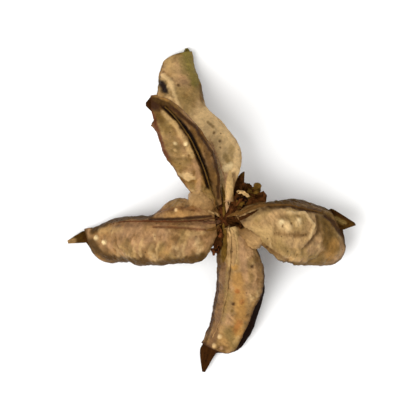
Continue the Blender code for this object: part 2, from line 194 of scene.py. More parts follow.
TORN_TOP_HEIGHT = 0.5     # relief of the torn column, its size, and how far down it reaches
TORN_TOP_SIZE = 1.2
TORN_TOP_DEPTH = 2.8
BARK_START = (4.2, 1.5)   # distance down at which the bark begins, and its fading
CUT_END_RIM = (1.15, 0.3)  # radius of the pale pith at the cut end, and its fading
STEM_GRID = (130, 120)

# Calyx, a ragged cup round the receptacle with torn lobes
CALYX_PROFILE = [(2.85, 8.45), (4.2, 9.2), (5.4, 10.2), (6.3, 10.7)]
CALYX_RIM = (7.2, 10.6)   # radius and height
CALYX_RAGGED = 0.45
CALYX_WAVES = (5, 17, 0.6)  # coarse and fine waves round the rim, and the height of the fine ones
CALYX_CRUMPLE = 0.12
CALYX_FOLDS = (2.0, 1.2, 0.22)  # size and height of its folds, and the level that they rise from
CALYX_CRINKLES = (0.8, 0.5)
CALYX_LOOSE = 0.9         # the relief begins here, where 1 is the cup's edge and 2 the lobes' ends
CALYX_TEAR = 0.5          # depth of the tears round the rim, and in a lobe for each millimetre of reach
CALYX_LOBE_TEAR = 0.25
CALYX_GRID = (40, 420)
CALYX_SHEET = 0.5
# Lobes of the calyx: angle round the axis and half the spread in degrees, reach past the rim, rise
CALYX_LOBES = (
    (66, 11, 3.2, -0.4),
    (38, 15, 4.2, 0.5),
    (29, 8, 3.8, -1.3),
    (237, 12, 3.7, -1.4),
    (253, 8, 3.0, -0.8),
    (130, 12, 1.0, 0.0),
    (310, 12, 1.2, -0.4),
)

# Colours as they look in the photograph, from 0 to 255, and the share of their red, green and blue
# that is the surface's own, as the scene's light is bright and its sheen adds white
SURFACE_SHARE = np.array((0.70, 0.64, 0.51))
# GLINT spots, and some PALE and CREAM spots and ridges, are painted highlights; NEAR_BLACK laid in slots,
# holes and gaps is painted shade
GLINT = (255, 232, 190)
PALE = (232, 202, 158)
CREAM = (208, 176, 128)
PINKISH = (190, 152, 120)
TAN = (170, 138, 98)
OLIVE_TAN = (150, 126, 78)
YELLOW_GREEN = (132, 122, 62)
OCHRE = (184, 140, 80)
RUST = (166, 104, 52)
OLIVE_BROWN = (106, 80, 34)
DARK_OLIVE = (80, 56, 20)
MID_BROWN = (118, 86, 48)
RED_BROWN = (104, 60, 34)
PURPLE_BROWN = (112, 80, 60)
DARK_BROWN = (66, 38, 14)
NEAR_BLACK = (30, 14, 6)
HUSK_INSIDE = (74, 46, 20)
HUSK_OUTSIDE = (108, 78, 50)
HUSK_GREY = (142, 120, 92)
STEM_BARK = (122, 94, 54)
PITH = (176, 150, 110)
SHRED = (90, 54, 26)

# The stage, in metres; each lamp has its name, place, size and power
FLOOR_SIZE = 4.0
FLOOR_COLOUR = (0.96, 0.96, 0.96)
FLOOR_ROUGHNESS = 0.9
CAMERA_HEIGHT = 1.0
CAMERA_REACH = 10.0
VIEW_WIDTH = 0.104        # width of the picture at the height of the valves
VIEW_LEVEL = 0.013
SENSOR = 36.0             # in millimetres
ROOM_COLOUR = (1.0, 0.99, 0.97, 1)
ROOM_LIGHT = 0.74
LAMPS = (("window", (-0.5, -0.32, 0.75), 0.75, 8.8), ("fill", (0.6, 0.5, 0.9), 0.9, 2.0))

# Noise is spread over this range where a material turns it into light, dark or gloss
NOISE_RANGE = (0.3, 0.7)


@dataclass
class Half:
    """One half of a valve; values are evenly spaced from base to blade end, as in the solids.

    reach is how far the half spreads as seen from above.  lift and edge are its angles above the
    horizontal, in degrees, at the midline and at the margin.  cover is the share of the husk's
    width that the lining covers.  rounding is the share of the blade past which the end is round.
    """

    reach: tuple
    lift: tuple
    edge: tuple
    cover: tuple = (0.95, 0.95)
    rounding: float = 0.9


@dataclass
class Stroke:
    """A streak, spot, fold, stain, painted highlight or painted shade on a lining or husk, along a path in
    the photograph's pixels.

    half is half its width in millimetres; colour is laid on with the given strength, and the paper
    rises by rise millimetres.  A path of one place is a round spot.
    """

    path: tuple
    half: float
    colour: tuple = None
    strength: float = 0.0
    rise: float = 0.0


@dataclass
class Valve:
    """One valve: route is its midline in millimetres, from the receptacle to the beak's point."""

    name: str
    route: tuple
    left: Half
    right: Half
    beak: float            # length of the beak, and half its width where it begins
    beak_half: float
    fin: tuple             # height of the septum from base to tip
    lean: tuple            # lean of the septum to the left, in degrees, from base to tip
    rests: bool            # whether its tip lies on the ground
    phase: float           # sets its waves and noise apart from the others'
    paper: tuple           # main colour of the lining
    septum: tuple          # colour of the septum
    rim: tuple             # colour laid on the lining's margins, and painted shade on its steep sides
    beak_colour: tuple
    strokes: tuple
    husk_strokes: tuple = ()
    aim: tuple = ()        # level direction of the right half from base to tip, in degrees
    lining_end: float = 0.965
    sag: float = 0.0


@dataclass
class Ribbon:
    """A torn, crumpled strip of dry tissue near the middle.

    path holds places in the photograph's pixels, each with a height in millimetres, or without one
    where the strip lies on what is under it.  halves are half its width at its start and end, tilt
    is the lean of its surface in degrees, and its colour passes into end, if one is given.
    """

    path: tuple
    halves: tuple
    colour: tuple
    tilt: float = 0.0
    crumple: float = 1.0
    end: tuple = None


NORTH_STROKES = (
    Stroke(((98.4, 98.5), (99.2, 102), (100.6, 107)), 1.5, YELLOW_GREEN, 0.85),
    Stroke(((97, 101), (97.8, 104)), 1.3, YELLOW_GREEN, 0.5),
    Stroke(((93.5, 100.5), (94.5, 105)), 1.9, CREAM, 0.5),
    Stroke(((91.8, 105), (94, 106.8), (95, 110), (96.2, 113.6)), 0.6, PALE, 0.8, 0.4),
    # painted shade inside the dented hole at the left margin
    Stroke(((91.4, 107.2), (92.3, 109.4)), 1.05, NEAR_BLACK, 1.0, -0.2),
    Stroke(((96, 107.9),), 0.45, DARK_BROWN, 0.9),
    Stroke(((96.5, 110), (98.5, 114.5)), 1.8, OLIVE_TAN, 0.6),
    Stroke(((96.5, 115.8), (101.5, 120.5), (105.4, 126.5), (107.4, 132)), 0.8, OLIVE_BROWN, 0.8, -0.2),
    Stroke(((102.2, 108), (102.6, 112.8), (107.6, 118), (111.8, 123.4), (113.2, 127.5), (112, 131)), 0.6,
           OLIVE_BROWN, 0.8),
    Stroke(((102, 116.5), (105.5, 119.8)), 1.4, RUST, 0.3),
    # a pale wash over the lower paper, partly its tone and partly painted light
    Stroke(((103.5, 117), (107, 121), (110, 126.5), (110.3, 131)), 3.8, PALE, 1.0),
    Stroke(((106.5, 120), (109.5, 124.5), (110.8, 129)), 1.6, PALE, 0.4, 0.15),
    Stroke(((110.6, 125.5), (110.2, 129.5)), 1.0, OLIVE_TAN, 0.6),
    Stroke(((107.4, 123.6),), 0.45, DARK_BROWN, 0.8, -0.15),
    Stroke(((107.6, 125.3),), 0.3, MID_BROWN, 0.8),
    Stroke(((105.8, 121.3),), 0.4, MID_BROWN, 0.8),
    Stroke(((104.2, 118.2), (105.6, 119.6)), 0.5, OLIVE_BROWN, 0.6),
    Stroke(((108.8, 127.6), (109.6, 129.2)), 0.7, OLIVE_TAN, 0.7, -0.2),
    # painted highlight
    Stroke(((108.6, 131.2), (110.4, 130.3)), 0.8, GLINT, 0.75, 0.3),
    Stroke(((109.4, 133), (110, 137), (109.6, 141.5)), 0.75, PINKISH, 0.95, 0.3),
    Stroke(((111.3, 132.5), (111.6, 137)), 0.6, MID_BROWN, 0.75, -0.1),
)

NORTH_WEST_STROKES = (
    Stroke(((92, 119), (94, 124.5), (96.5, 129)), 2.6, OLIVE_TAN, 0.55),
    Stroke(((90.8, 117.6), (93, 121)), 0.7, OLIVE_BROWN, 0.5),
    # painted highlight along the lit ridge at the left of the slot
    Stroke(((92, 116), (95, 119), (97.9, 123.3), (100, 127.6)), 0.75, CREAM, 0.75, 0.3),
    Stroke(((89.9, 114.8), (91.6, 118.2)), 1.0, OLIVE_BROWN, 0.8),
    # painted highlights on the bumps
    Stroke(((98.1, 124.4),), 0.55, GLINT, 0.9, 0.35),
    Stroke(((95.2, 124.4),), 0.55, GLINT, 0.6, 0.3),
    Stroke(((95.2, 126.3),), 0.5, CREAM, 0.8, 0.2),
    Stroke(((97.6, 127.7),), 0.45, CREAM, 0.7, 0.15),
    Stroke(((100.6, 129), (101.8, 134), (101.4, 138.5)), 0.7, PINKISH, 0.6, 0.15),
    Stroke(((102.2, 139.5), (100.8, 138)), 0.7, MID_BROWN, 0.7, -0.15),
    # painted shade in the slot beside the septum
    Stroke(((92.2, 114.3), (96.4, 118), (99.6, 122.2), (101.5, 127), (103.3, 131.5), (104.4, 136)), 0.85,
           NEAR_BLACK, 1.0, -0.5),
    Stroke(((93.8, 114.2), (99.4, 119.3), (103.3, 125), (105.2, 131), (106, 138)), 0.85, MID_BROWN, 0.85),
    Stroke(((90.5, 112.5), (95.2, 115.2), (101, 120.2), (105.6, 127.2), (107, 133), (107, 139)), 0.5,
           DARK_BROWN, 0.9),
    Stroke(((87.2, 113), (90.3, 114.2)), 1.5, DARK_BROWN, 1.0),
    Stroke(((89.6, 112.4), (93.4, 113.8)), 0.7, DARK_OLIVE, 0.9),
    Stroke(((87.4, 114), (89, 117), (90.6, 121), (91.6, 125), (93.2, 128.8)), 0.75, RED_BROWN, 0.95),
    Stroke(((93.4, 129), (96, 133.2), (98.6, 136.8)), 0.4, MID_BROWN, 0.7),
)

WEST_STROKES = (
    Stroke(((72.2, 148.4), (77, 145.5), (82, 144.4), (88.5, 144)), 0.9, DARK_OLIVE, 0.95),
    Stroke(((88, 145), (96, 144.9), (105, 144.2)), 0.4, DARK_BROWN, 0.95, -0.2),
    Stroke(((89, 147), (97, 147.3), (103.5, 147.9)), 0.35, RED_BROWN, 0.8, -0.15),
    Stroke(((79, 146.8), (88, 146), (98, 146), (103, 146.2)), 0.8, PURPLE_BROWN, 0.55),
    Stroke(((91, 142.9), (96, 141.8), (102, 142.5)), 0.6, RED_BROWN, 0.5),
    Stroke(((95, 140.4), (100, 139.9), (104, 140.6)), 1.2, TAN, 0.5),
    Stroke(((95.4, 142.5),), 0.45, PALE, 0.9, 0.2),
    # painted highlights
    Stroke(((104.8, 142.6),), 0.6, CREAM, 0.9, 0.2),
    Stroke(((73.2, 150.1),), 0.65, GLINT, 0.85, 0.4),
    Stroke(((75.3, 151.4),), 0.65, GLINT, 1.0, 0.5),
    Stroke(((74.3, 148.2), (80, 147.9)), 0.8, CREAM, 0.35, 0.15),
    Stroke(((98.5, 149.1), (103, 148.8)), 0.6, CREAM, 0.45, 0.15),
    Stroke(((102.8, 150.2), (105.5, 148.6)), 0.6, MID_BROWN, 0.6, -0.15),
) + tuple(
    Stroke(((x + 0.5, 151 + low), (x - 0.2, 153.4), (x + 0.1, 155.4)), half, CREAM, strength, strength / 2)
    for x, low, half, strength in (
        (79.4, 1.6, 0.5, 0.3), (83.9, 0.8, 0.4, 0.4), (85.6, -0.2, 0.5, 0.5), (88.4, 1.3, 0.6, 0.4),
        (90.3, 0.2, 0.35, 0.45), (94.2, 1.2, 0.6, 0.2), (97.6, 0.4, 0.4, 0.4))
) + (
    Stroke(((72, 151.4), (73.4, 153.8), (76, 155.6), (80.8, 156.8), (89, 157.1), (97, 156.9), (102.6, 155)),
           1.15, DARK_OLIVE, 0.9),
)

SOUTH_STROKES = (
    Stroke(((107.8, 148.5), (108.2, 153), (107.8, 158)), 0.9, OLIVE_BROWN, 0.9, -0.2),
    Stroke(((108.4, 158), (107.9, 166), (106.7, 174), (105, 179.5)), 1.15, PURPLE_BROWN, 0.65, -0.15),
    Stroke(((107.2, 150), (106.9, 162), (105.5, 173), (103.2, 180)), 0.4, DARK_BROWN, 0.7),
    Stroke(((110.9, 148), (111.2, 153), (111.1, 157.4)), 1.25, CREAM, 0.95, 0.4),
    Stroke(((113.3, 150.5), (113.9, 157), (114.6, 162)), 1.0, PINKISH, 0.6),
    Stroke(((111.5, 158.2),), 0.9, OCHRE, 0.9, 0.15),
    Stroke(((109.7, 159), (109.2, 167), (108.4, 173)), 0.7, OLIVE_TAN, 0.5),
    Stroke(((112.2, 161.5), (112.9, 166.5), (113.2, 171.5), (112.3, 176)), 1.7, OCHRE, 0.8),
    Stroke(((112.3, 164.9),), 0.7, RUST, 0.8),
    Stroke(((113.6, 167.8),), 0.8, RUST, 0.6),
    Stroke(((113, 173.6), (111.7, 176)), 0.8, RUST, 0.6),
    Stroke(((111.2, 168.4),), 0.45, DARK_BROWN, 0.9, 0.15),
    Stroke(((110.8, 170.4),), 0.4, OLIVE_BROWN, 0.8),
    # painted highlights, small glints near the tip
    Stroke(((107.4, 177.6),), 0.6, PALE, 0.9, 0.25),
    Stroke(((105.8, 180.2),), 0.65, PALE, 0.8, 0.25),
    Stroke(((107.9, 181),), 0.5, PINKISH, 0.8, 0.15),
    Stroke(((112.6, 177.6), (111.4, 179.4)), 0.5, CREAM, 0.6, 0.15),
    Stroke(((110, 176.5), (111.5, 179.4)), 1.5, OLIVE_TAN, 0.6),
    Stroke(((116.3, 158.1),), 0.5, DARK_BROWN, 0.8, -0.15),
    Stroke(((116.4, 153), (115.2, 150.8)), 0.45, MID_BROWN, 0.8, -0.15),
    Stroke(((117.6, 157), (118.4, 161.5)), 0.6, MID_BROWN, 0.5),
)

EAST_STROKES = (
    Stroke(((124, 149.2),), 7.2, rise=0.75),
    # the dark line along the midline, partly painted shade in the groove
    Stroke(((110.5, 147), (115, 144.6), (120, 141.8), (127, 141.3), (135.5, 142.9)), 0.85,
           DARK_BROWN, 0.95, -0.3),
    Stroke(((118, 146), (124, 148), (129, 149)), 5.0, CREAM, 0.45),
    # painted highlights, two bright spots with a ring, and painted shade in the dents at their middles
    Stroke(((124.2, 146.2), (126, 147.2)), 1.1, PALE, 1.0, 0.45),
    Stroke(((124.2, 145.9),), 0.6, GLINT, 1.0, 0.25),
    Stroke(((124.5, 146.9),), 0.3, MID_BROWN, 0.8, -0.35),
    Stroke(((128.6, 146),), 1.0, PALE, 1.0, 0.35),
    Stroke(((128.8, 145.6),), 0.5, GLINT, 1.0, 0.2),
    Stroke(((126.8, 146.4),), 0.4, MID_BROWN, 0.6, -0.3),
    Stroke(((122.5, 148.9), (126.5, 149.3), (129, 148.7)), 0.5, MID_BROWN, 0.5, -0.2),
    # painted highlight on a curved ridge, with painted shade in the dents beside it
    Stroke(((126, 143.4), (130.6, 143.5), (133.4, 146.6), (132, 150)), 0.45, PALE, 0.9, 0.45),
    Stroke(((128, 149.6), (131, 149.2)), 0.5, MID_BROWN, 0.75, -0.25),
    Stroke(((134.3, 144), (134.9, 148), (132.4, 151.2), (130.4, 153.2)), 0.5, DARK_BROWN, 0.7, -0.4),
    # the darker right part, partly its colour and partly painted shade
    Stroke(((136.8, 144.6), (137.2, 149), (138.4, 153)), 2.3, OLIVE_BROWN, 0.9),
    Stroke(((135, 156.6), (138, 155.6)), 1.0, OLIVE_BROWN, 0.6),
    Stroke(((139.2, 151.5), (137.8, 155)), 1.3, OCHRE, 0.5),
    Stroke(((136.6, 144.2), (138.6, 145.6), (139.8, 147.6), (141, 149.2)), 0.65, DARK_BROWN, 0.9, -0.2),
    Stroke(((114.5, 142.6), (117.5, 141.2), (121.5, 140.2), (128, 139.9), (134, 140.8), (138, 142.2)), 0.9,
           DARK_OLIVE, 0.9),
    Stroke(((116.5, 147.6), (121, 147.4)), 0.9, CREAM, 0.6, 0.15),
    Stroke(((117.5, 145.2), (121, 142.8)), 0.8, OLIVE_TAN, 0.5),
    Stroke(((114.8, 149.6), (117.8, 151.6)), 0.9, PINKISH, 0.8, 0.2),
    Stroke(((118.5, 151.4), (122, 153.6), (126, 156)), 0.45, MID_BROWN, 0.75, -0.2),
    Stroke(((120.3, 152.4),), 0.4, DARK_BROWN, 0.8),
    Stroke(((123.5, 152), (126.5, 153.6), (130.5, 154.4)), 1.3, OLIVE_TAN, 0.55),
    Stroke(((124, 156.6), (129, 157.4), (136, 157.2)), 0.6, OLIVE_BROWN, 0.75),
    # painted shade in a dark hole
    Stroke(((113.4, 147.6), (113.4, 148.6)), 0.42, NEAR_BLACK, 1.0, -0.4),
)

SOUTH_HUSK_STROKES = (
    # painted shade in the gap along the right margin, over the husk's dark inside
    Stroke(((119.2, 161), (118.8, 168), (116.9, 174.2), (113.6, 178.8)), 2.6, NEAR_BLACK, 1.0),
)
EAST_HUSK_STROKES = (
    Stroke(((137.5, 144.2), (142, 146)), 0.6, OLIVE_TAN, 0.9),
    Stroke(((134, 142.2), (139, 143), (143.5, 145.2)), 0.5, DARK_BROWN, 0.9),
)
WEST_HUSK_STROKES = (
    Stroke(((65, 151.3), (66.6, 151.1)), 0.9, TAN, 0.9),
    Stroke(((70.3, 150.4), (71.8, 151)), 0.9, DARK_BROWN, 0.8),
)

VALVES = (
    Valve("north",
          route=((0.3, 1.5, 14.2), (-0.3, 8.1, 13.9), (-2.2, 14.0, 13.4), (-4.6, 19.8, 12.4),
                 (-6.8, 25.6, 11.2), (-7.9, 31.0, 10.2), (-9.3, 36.0, 9.4), (-10.2, 41.0, 8.8)),
          left=Half(reach=(0.8, 1.3, 1.6, 2.4, 3.9, 6.4, 10.0, 8.3, 5.2),
                    lift=(5, -20, -10, 20, 22), edge=(-30, -80, -90, -62, -48), rounding=0.96),
          right=Half(reach=(0.8, 1.5, 4.6, 5.0, 3.3, 1.2, 0.6, 0.3, 0.2),
                     lift=(5, 25, 5, -45, -50), edge=(-30, -68, -85, -98, -96)),
          beak=0.8, beak_half=0.8, fin=(0.3, 0.7, 0.5, 0.3, 0.15, 0.1, 0.05), lean=(10, 10), rests=True,
          phase=0.0, paper=(182, 152, 112), septum=PINKISH, rim=OLIVE_BROWN, lining_end=0.99,
          beak_colour=YELLOW_GREEN, strokes=NORTH_STROKES),
    Valve("north_west",
          route=((-2.2, 1.1, 14.2), (-4.4, 6.3, 16.2), (-5.9, 10.8, 18.9), (-7.8, 15.3, 21.4),
                 (-10.4, 19.8, 23.4), (-13.4, 23.8, 24.8), (-16.4, 26.2, 25.5), (-20.0, 26.3, 25.6)),
          left=Half(reach=(0.8, 3.8, 5.3, 6.4, 6.8, 6.5, 5.6, 5.1, 5.0),
                    lift=(10, 15, 22, 20, 10), edge=(-20, -60, -70, -70, -60),
                    cover=(0.95, 0.95, 0.94, 0.93), rounding=0.96),
          right=Half(reach=(0.7, 1.8, 2.9, 3.3, 3.2, 2.8, 2.1, 1.6, 1.0),
                     lift=(5, 5, 10, 10, 0), edge=(-20, -50, -60, -60, -60), rounding=0.94),
          beak=1.3, beak_half=1.9, fin=(0.5, 1.1, 1.4, 1.4, 1.1, 0.7, 0.25), lean=(8, 12, 20), rests=False,
          phase=1.7, paper=(141, 108, 62), septum=OLIVE_BROWN, rim=RED_BROWN, lining_end=1.0,
          beak_colour=DARK_BROWN, strokes=NORTH_WEST_STROKES),
    Valve("west",
          route=((-2.3, -1.5, 14.2), (-9.9, -2.5, 15.4), (-17.6, -2.9, 14.8), (-24.8, -3.1, 13.2),
                 (-29.4, -3.9, 11.8), (-34.1, -5.7, 11.6), (-39.9, -7.6, 13.0)),
          left=Half(reach=(3.2, 9.2, 9.9, 9.9, 9.8, 9.8, 9.2, 8.4, 8.0),
                    lift=(8, 32, 38, 38, 28), edge=(-22, -66, -76, -78, -74), rounding=0.89),
          right=Half(reach=(0.8, 3.9, 5.6, 4.3, 1.5, 1.0, 0.8, 0.6, 0.4),
                     lift=(8, 12, -45, -50, -50), edge=(-22, -68, -104, -102, -98)),
          beak=4.4, beak_half=1.6, fin=(0.6, 1.3, 1.2, 0.9, 0.6, 0.3, 0.1), lean=(-5, 10, 0), rests=True,
          phase=3.1, paper=(163, 128, 90), septum=RED_BROWN, rim=DARK_OLIVE, lining_end=0.985,
          beak_colour=DARK_OLIVE, strokes=WEST_STROKES, husk_strokes=WEST_HUSK_STROKES),
    Valve("south",
          route=((0.5, -3.0, 14.2), (1.3, -8.1, 15.2), (1.3, -13.5, 15.4), (0.6, -18.9, 14.6),
                 (-0.4, -24.3, 13.4), (-2.1, -29.2, 12.0), (-4.7, -34.6, 11.8), (-5.9, -40.1, 13.2)),
          left=Half(reach=(1.0, 4.6, 6.8, 8.1, 8.5, 8.5, 8.0, 7.2, 6.8),
                    lift=(8, 32, 36, 36, 26), edge=(-22, -62, -70, -60, -55),
                    cover=(0.95, 0.94, 0.88, 0.69, 0.71, 0.85), rounding=0.86),
          right=Half(reach=(0.8, 2.7, 3.1, 3.0, 2.7, 2.4, 2.1, 1.7, 1.4),
                     lift=(5, -15, -30, -35, -40), edge=(-22, -80, -96, -92, -84)),
          beak=5.3, beak_half=2.2, fin=(0.8, 1.6, 1.2, 0.8, 0.6, 0.4, 0.1), lean=(0, 15, 5), rests=True,
          phase=4.6, paper=(164, 133, 92), septum=TAN, rim=DARK_BROWN, beak_colour=DARK_BROWN,
          strokes=SOUTH_STROKES, husk_strokes=SOUTH_HUSK_STROKES),
    Valve("east",
          route=((2.0, -1.6, 14.2), (5.9, 0.1, 15.6), (9.9, 1.0, 16.3), (15.8, 0.8, 15.8),
                 (21.2, -0.2, 14.2), (25.6, -1.2, 12.9), (31.9, -3.0, 13.4)),
          left=Half(reach=(0.8, 1.3, 0.8, 0.6, 1.3, 2.3, 3.0, 3.1, 2.7),
                    lift=(0, -40, -55, -50, -45), edge=(-20, -95, -102, -100, -95), cover=(0.6, 0.55)),
          right=Half(reach=(6.8, 10.8, 12.5, 13.3, 13.4, 13.1, 12.8, 12.1, 11.1),
                     lift=(8, 30, 38, 36, 20), edge=(-30, -60, -72, -76, -66), rounding=0.87),
          beak=4.6, beak_half=3.2, fin=(0.5, 0.9, 0.7, 0.5, 0.4, 0.3, 0.1), lean=(10, 20, 10), rests=True,
          phase=5.8, paper=(188, 158, 117), septum=MID_BROWN, rim=DARK_OLIVE, aim=(-51, -72, -85, -85, -62),
          beak_colour=DARK_OLIVE, strokes=EAST_STROKES, husk_strokes=EAST_HUSK_STROKES),
)

# Torn tissue that shows between the valves and in the middle, and papery webs and strips
SHREDS = (
    Ribbon(((110.2, 142.6, 14.0), (112.6, 138.8, 13.2), (114, 136.6, 12.4), (114.6, 135.1, 11.4)),
           (1.0, 1.1), SHRED, 25),
    Ribbon(((111, 142.4, 13.6), (114.6, 139, 13.0), (117.4, 137, 12.2), (118.7, 136.8, 11.4)),
           (0.9, 1.5), OLIVE_BROWN, -15),
    Ribbon(((112, 142, 13.4), (116.5, 139.8, 12.6), (120.4, 138.5, 11.2)), (0.9, 1.4), SHRED, 20),
    Ribbon(((113.4, 139.6, 12.8), (114.7, 137.2, 12.8), (115.6, 135.2, 11.8)), (0.8, 0.9), DARK_BROWN, 10),
    Ribbon(((114, 136.2, 12.2), (116.4, 137.8, 12.4), (119.4, 138.4, 11.6)), (0.8, 0.9), DARK_BROWN, -30),
    # a near-black patch, painted shade in the gap
    Ribbon(((112, 139.4, 13.6), (114.4, 139.6, 13.2), (113.2, 141.8, 13.4)), (0.6, 0.6), NEAR_BLACK),
    Ribbon(((107.4, 147, 14.2), (105.4, 150.6, 13.0), (102.6, 154.4, 11.4)), (0.9, 1.1), SHRED, -20),
    Ribbon(((107.9, 147.8, 14.0), (106.7, 151.4, 12.8), (105.6, 155, 11.4)), (0.8, 1.0), RED_BROWN, 20),
    Ribbon(((108, 148.6, 14.0), (107.2, 151.5, 13.4), (106.8, 154.6, 12.0)), (0.9, 0.8), DARK_BROWN, 20),
    # a near-black patch, painted shade in the gap
    Ribbon(((106.9, 152, 13.0), (106.3, 153.8, 12.6)), (0.6, 0.5), NEAR_BLACK),
    Ribbon(((109.2, 144.4), (112.5, 143.2), (116, 141.4), (119.8, 140.3)), (0.5, 0.8), MID_BROWN,
           crumple=0.7),
    # a dark strip, painted shade in the gap
    Ribbon(((109, 145.6), (111.4, 145.4), (115, 144), (118, 142.4)), (0.5, 0.4), DARK_BROWN),
    Ribbon(((108.5, 144.4), (108.7, 141), (108.1, 135.4)), (0.5, 0.35), OLIVE_BROWN),
    Ribbon(((107.8, 145.6), (105.4, 145.9), (101.5, 145.6)), (0.5, 0.4), PURPLE_BROWN),
    Ribbon(((108.4, 146), (108.6, 149), (108.7, 153), (108.3, 157)), (0.6, 0.8), OLIVE_BROWN, crumple=0.6),
    Ribbon(((107.6, 144.6), (106.4, 142.6), (106, 139)), (0.4, 0.4), MID_BROWN, crumple=0.6),
    Ribbon(((109.9, 144), (111.3, 141.4), (111.9, 138.5)), (0.4, 0.3), SHRED),
    Ribbon(((109.6, 145.9), (112.6, 146.8), (113.8, 148.4)), (0.5, 0.4), DARK_BROWN),
    Ribbon(((107.9, 146.4), (106, 147.6), (103.6, 148.2)), (0.4, 0.4), MID_BROWN, crumple=0.6),
)
PAPER_SHREDS = (
    Ribbon(((106.4, 143), (104, 141.2), (101.3, 139.4), (98.9, 138)), (0.9, 2.8), MID_BROWN, 0, 0.3, TAN),
    Ribbon(((112.4, 147), (114.6, 149), (116.8, 151), (118.6, 152.9)), (0.9, 2.3), MID_BROWN, 0, 0.3, TAN),
    Ribbon(((112, 137.4, 13.4), (113.8, 137.7, 14.0), (115.6, 138.9, 13.4)), (0.5, 0.4), CREAM, 10),
    Ribbon(((103.9, 152, 13.2), (104.5, 153.2, 13.5), (104.4, 154.2, 12.8)), (0.3, 0.25), PINKISH),
    Ribbon(((107.4, 144.4), (106.1, 143.3), (104.2, 142.5)), (0.3, 0.55), TAN, crumple=0.3),
    Ribbon(((109.3, 143.2), (109.5, 140.6), (110, 137), (110.2, 131.6)), (0.3, 1.3), PINKISH, 0, 0.4, CREAM),
    Ribbon(((109.7, 147), (110.6, 148.6), (111, 152.5), (111.2, 158)), (0.4, 1.1), CREAM, 0, 0.4, TAN),
)


def linear(colour):
    """A colour as it looks in the photograph, as the linear values of the surface for shaders."""
    c = np.asarray(colour, float) / 255
    return SURFACE_SHARE * np.where(c <= 0.04045, c / 12.92, ((c + 0.055) / 1.055) ** 2.4)


def ease(x):
    """A smooth step from 0 to 1 as x goes from 0 to 1."""
    x = np.clip(x, 0, 1)
    return x * x * (3 - 2 * x)


def through(values, share):
    """A smooth curve through evenly spaced values or points, read at a share from 0 to 1."""
    values = np.asarray(values, float)
    place = min(max(share, 0.0), 1.0) * (len(values) - 1)
    i = min(int(place), len(values) - 2)
    f = place - i
    before = values[i - 1] if i > 0 else 2 * values[0] - values[1]
    after = values[i + 2] if i + 2 < len(values) else 2 * values[-1] - values[-2]
    a, b = values[i], values[i + 1]
    return 0.5 * (2 * a + (b - before) * f + (2 * before - 5 * a + 4 * b - after) * f**2
                  + (3 * a - before - 3 * b + after) * f**3)


def rough(place, octaves):
    """Smooth noise at one place."""
    return noise.fractal(Vector(place), 1.0, 2.0, octaves)


def wander(points, size, seed, octaves=3):
    """Smooth noise, from about -1 to 1, at a grid of points, with lumps of the given size."""
    shape = points.shape[:-1]
    moved = points.reshape(-1, 3) / size + seed * SEED_STEP
    return np.array([rough(p, octaves) for p in moved]).reshape(shape)


def plan(points):
    """Places in the photograph's pixels turned into millimetres in the boll's own plan."""
    return [((x - PHOTO_MIDDLE[0]) * MM_PER_PIXEL, (PHOTO_MIDDLE[1] - y) * MM_PER_PIXEL) for x, y in points]


class Midline:
    """A valve's midline by share of its length, with the directions across it."""

    STEPS = 160
    REACH = 0.02

    def __init__(self, valve):
        shares = np.linspace(0, 1, self.STEPS + 1)
        points = np.array([through(valve.route, s) for s in shares])
        points[:, 2] -= valve.sag * shares
        lengths = np.r_[0, np.cumsum(np.linalg.norm(np.diff(points, axis=0), axis=1))]
        self.aim = valve.aim
        self.points = points
        self.length = lengths[-1]
        self.shares = lengths / self.length
        self.blade = 1 - valve.beak / self.length

    def point(self, share):
        return np.array([np.interp(share, self.shares, self.points[:, k]) for k in range(3)])

    def frame(self, share):
        """Position, the level direction to the left, and the direction out of the valve's inner face."""
        ahead = self.point(min(share + self.REACH, 1)) - self.point(max(share - self.REACH, 0))
        ahead /= np.linalg.norm(ahead)
        left = np.cross((0, 0, 1), ahead)
        if self.aim:
            right = math.radians(through(self.aim, share / self.blade))
            left = np.array([-math.cos(right), -math.sin(right), 0])
        left /= np.linalg.norm(left)
        up = np.cross(ahead, left)
        return self.point(share), left, up / np.linalg.norm(up)


def half_angles(half, along):
    """Angles at the midline and at the margin, in radians; both flatten out where the beak starts."""
    lift, edge = through(half.lift, along), through(half.edge, along)
    flat = float(ease((along - BEAK_BLEND[0]) / (BEAK_BLEND[1] - BEAK_BLEND[0])))
    return (math.radians(lift + (BEAK_ANGLES[0] - lift) * flat),
            math.radians(edge + (BEAK_ANGLES[1] - edge) * flat))


def half_width(valve, half, share, blade):
    """Developed width of one half, which rounds off at the blade's end and passes into the beak."""
    along = share / blade
    lift, edge = half_angles(half, along)
    width = through(half.reach, along) * (lift - edge) / (math.sin(lift) - math.sin(max(edge, -math.pi / 2)))
    if along < half.rounding:
        return width
    over = min((along - half.rounding) / (1 - half.rounding), 1)
    width *= math.sqrt(max(1 - over**2, 0))
    taper = min(max((1 - share) / (1 - blade), 0), 1)
    beak = BEAK_POINT + (valve.beak_half - BEAK_POINT) * taper
    return max(width, beak * min(over * BEAK_JOIN, 1))


def waves(valve, share, columns):
    """Slow waves of the dried wall, in millimetres out of the inner face."""
    calm = math.sin(math.pi * min(share / WAVES_END, 1)) ** WAVES_FADE
    height = sum(h * np.sin(a * share + b * columns + c * valve.phase) for h, a, b, c in WAVES)
    return calm * height * (WAVES_AT_MIDLINE + (1 - WAVES_AT_MIDLINE) * np.abs(columns))


@dataclass
class Face:
    """The husk's inner face as grids of rows along the valve and columns from right to left."""

    points: np.ndarray
    normals: np.ndarray
    along: np.ndarray      # millimetres from the base
    across: np.ndarray     # millimetres from the midline, more than 0 on the left
    shares: np.ndarray     # share of the midline
    columns: np.ndarray    # share of the half's width, from -1 to 1
    blade: float


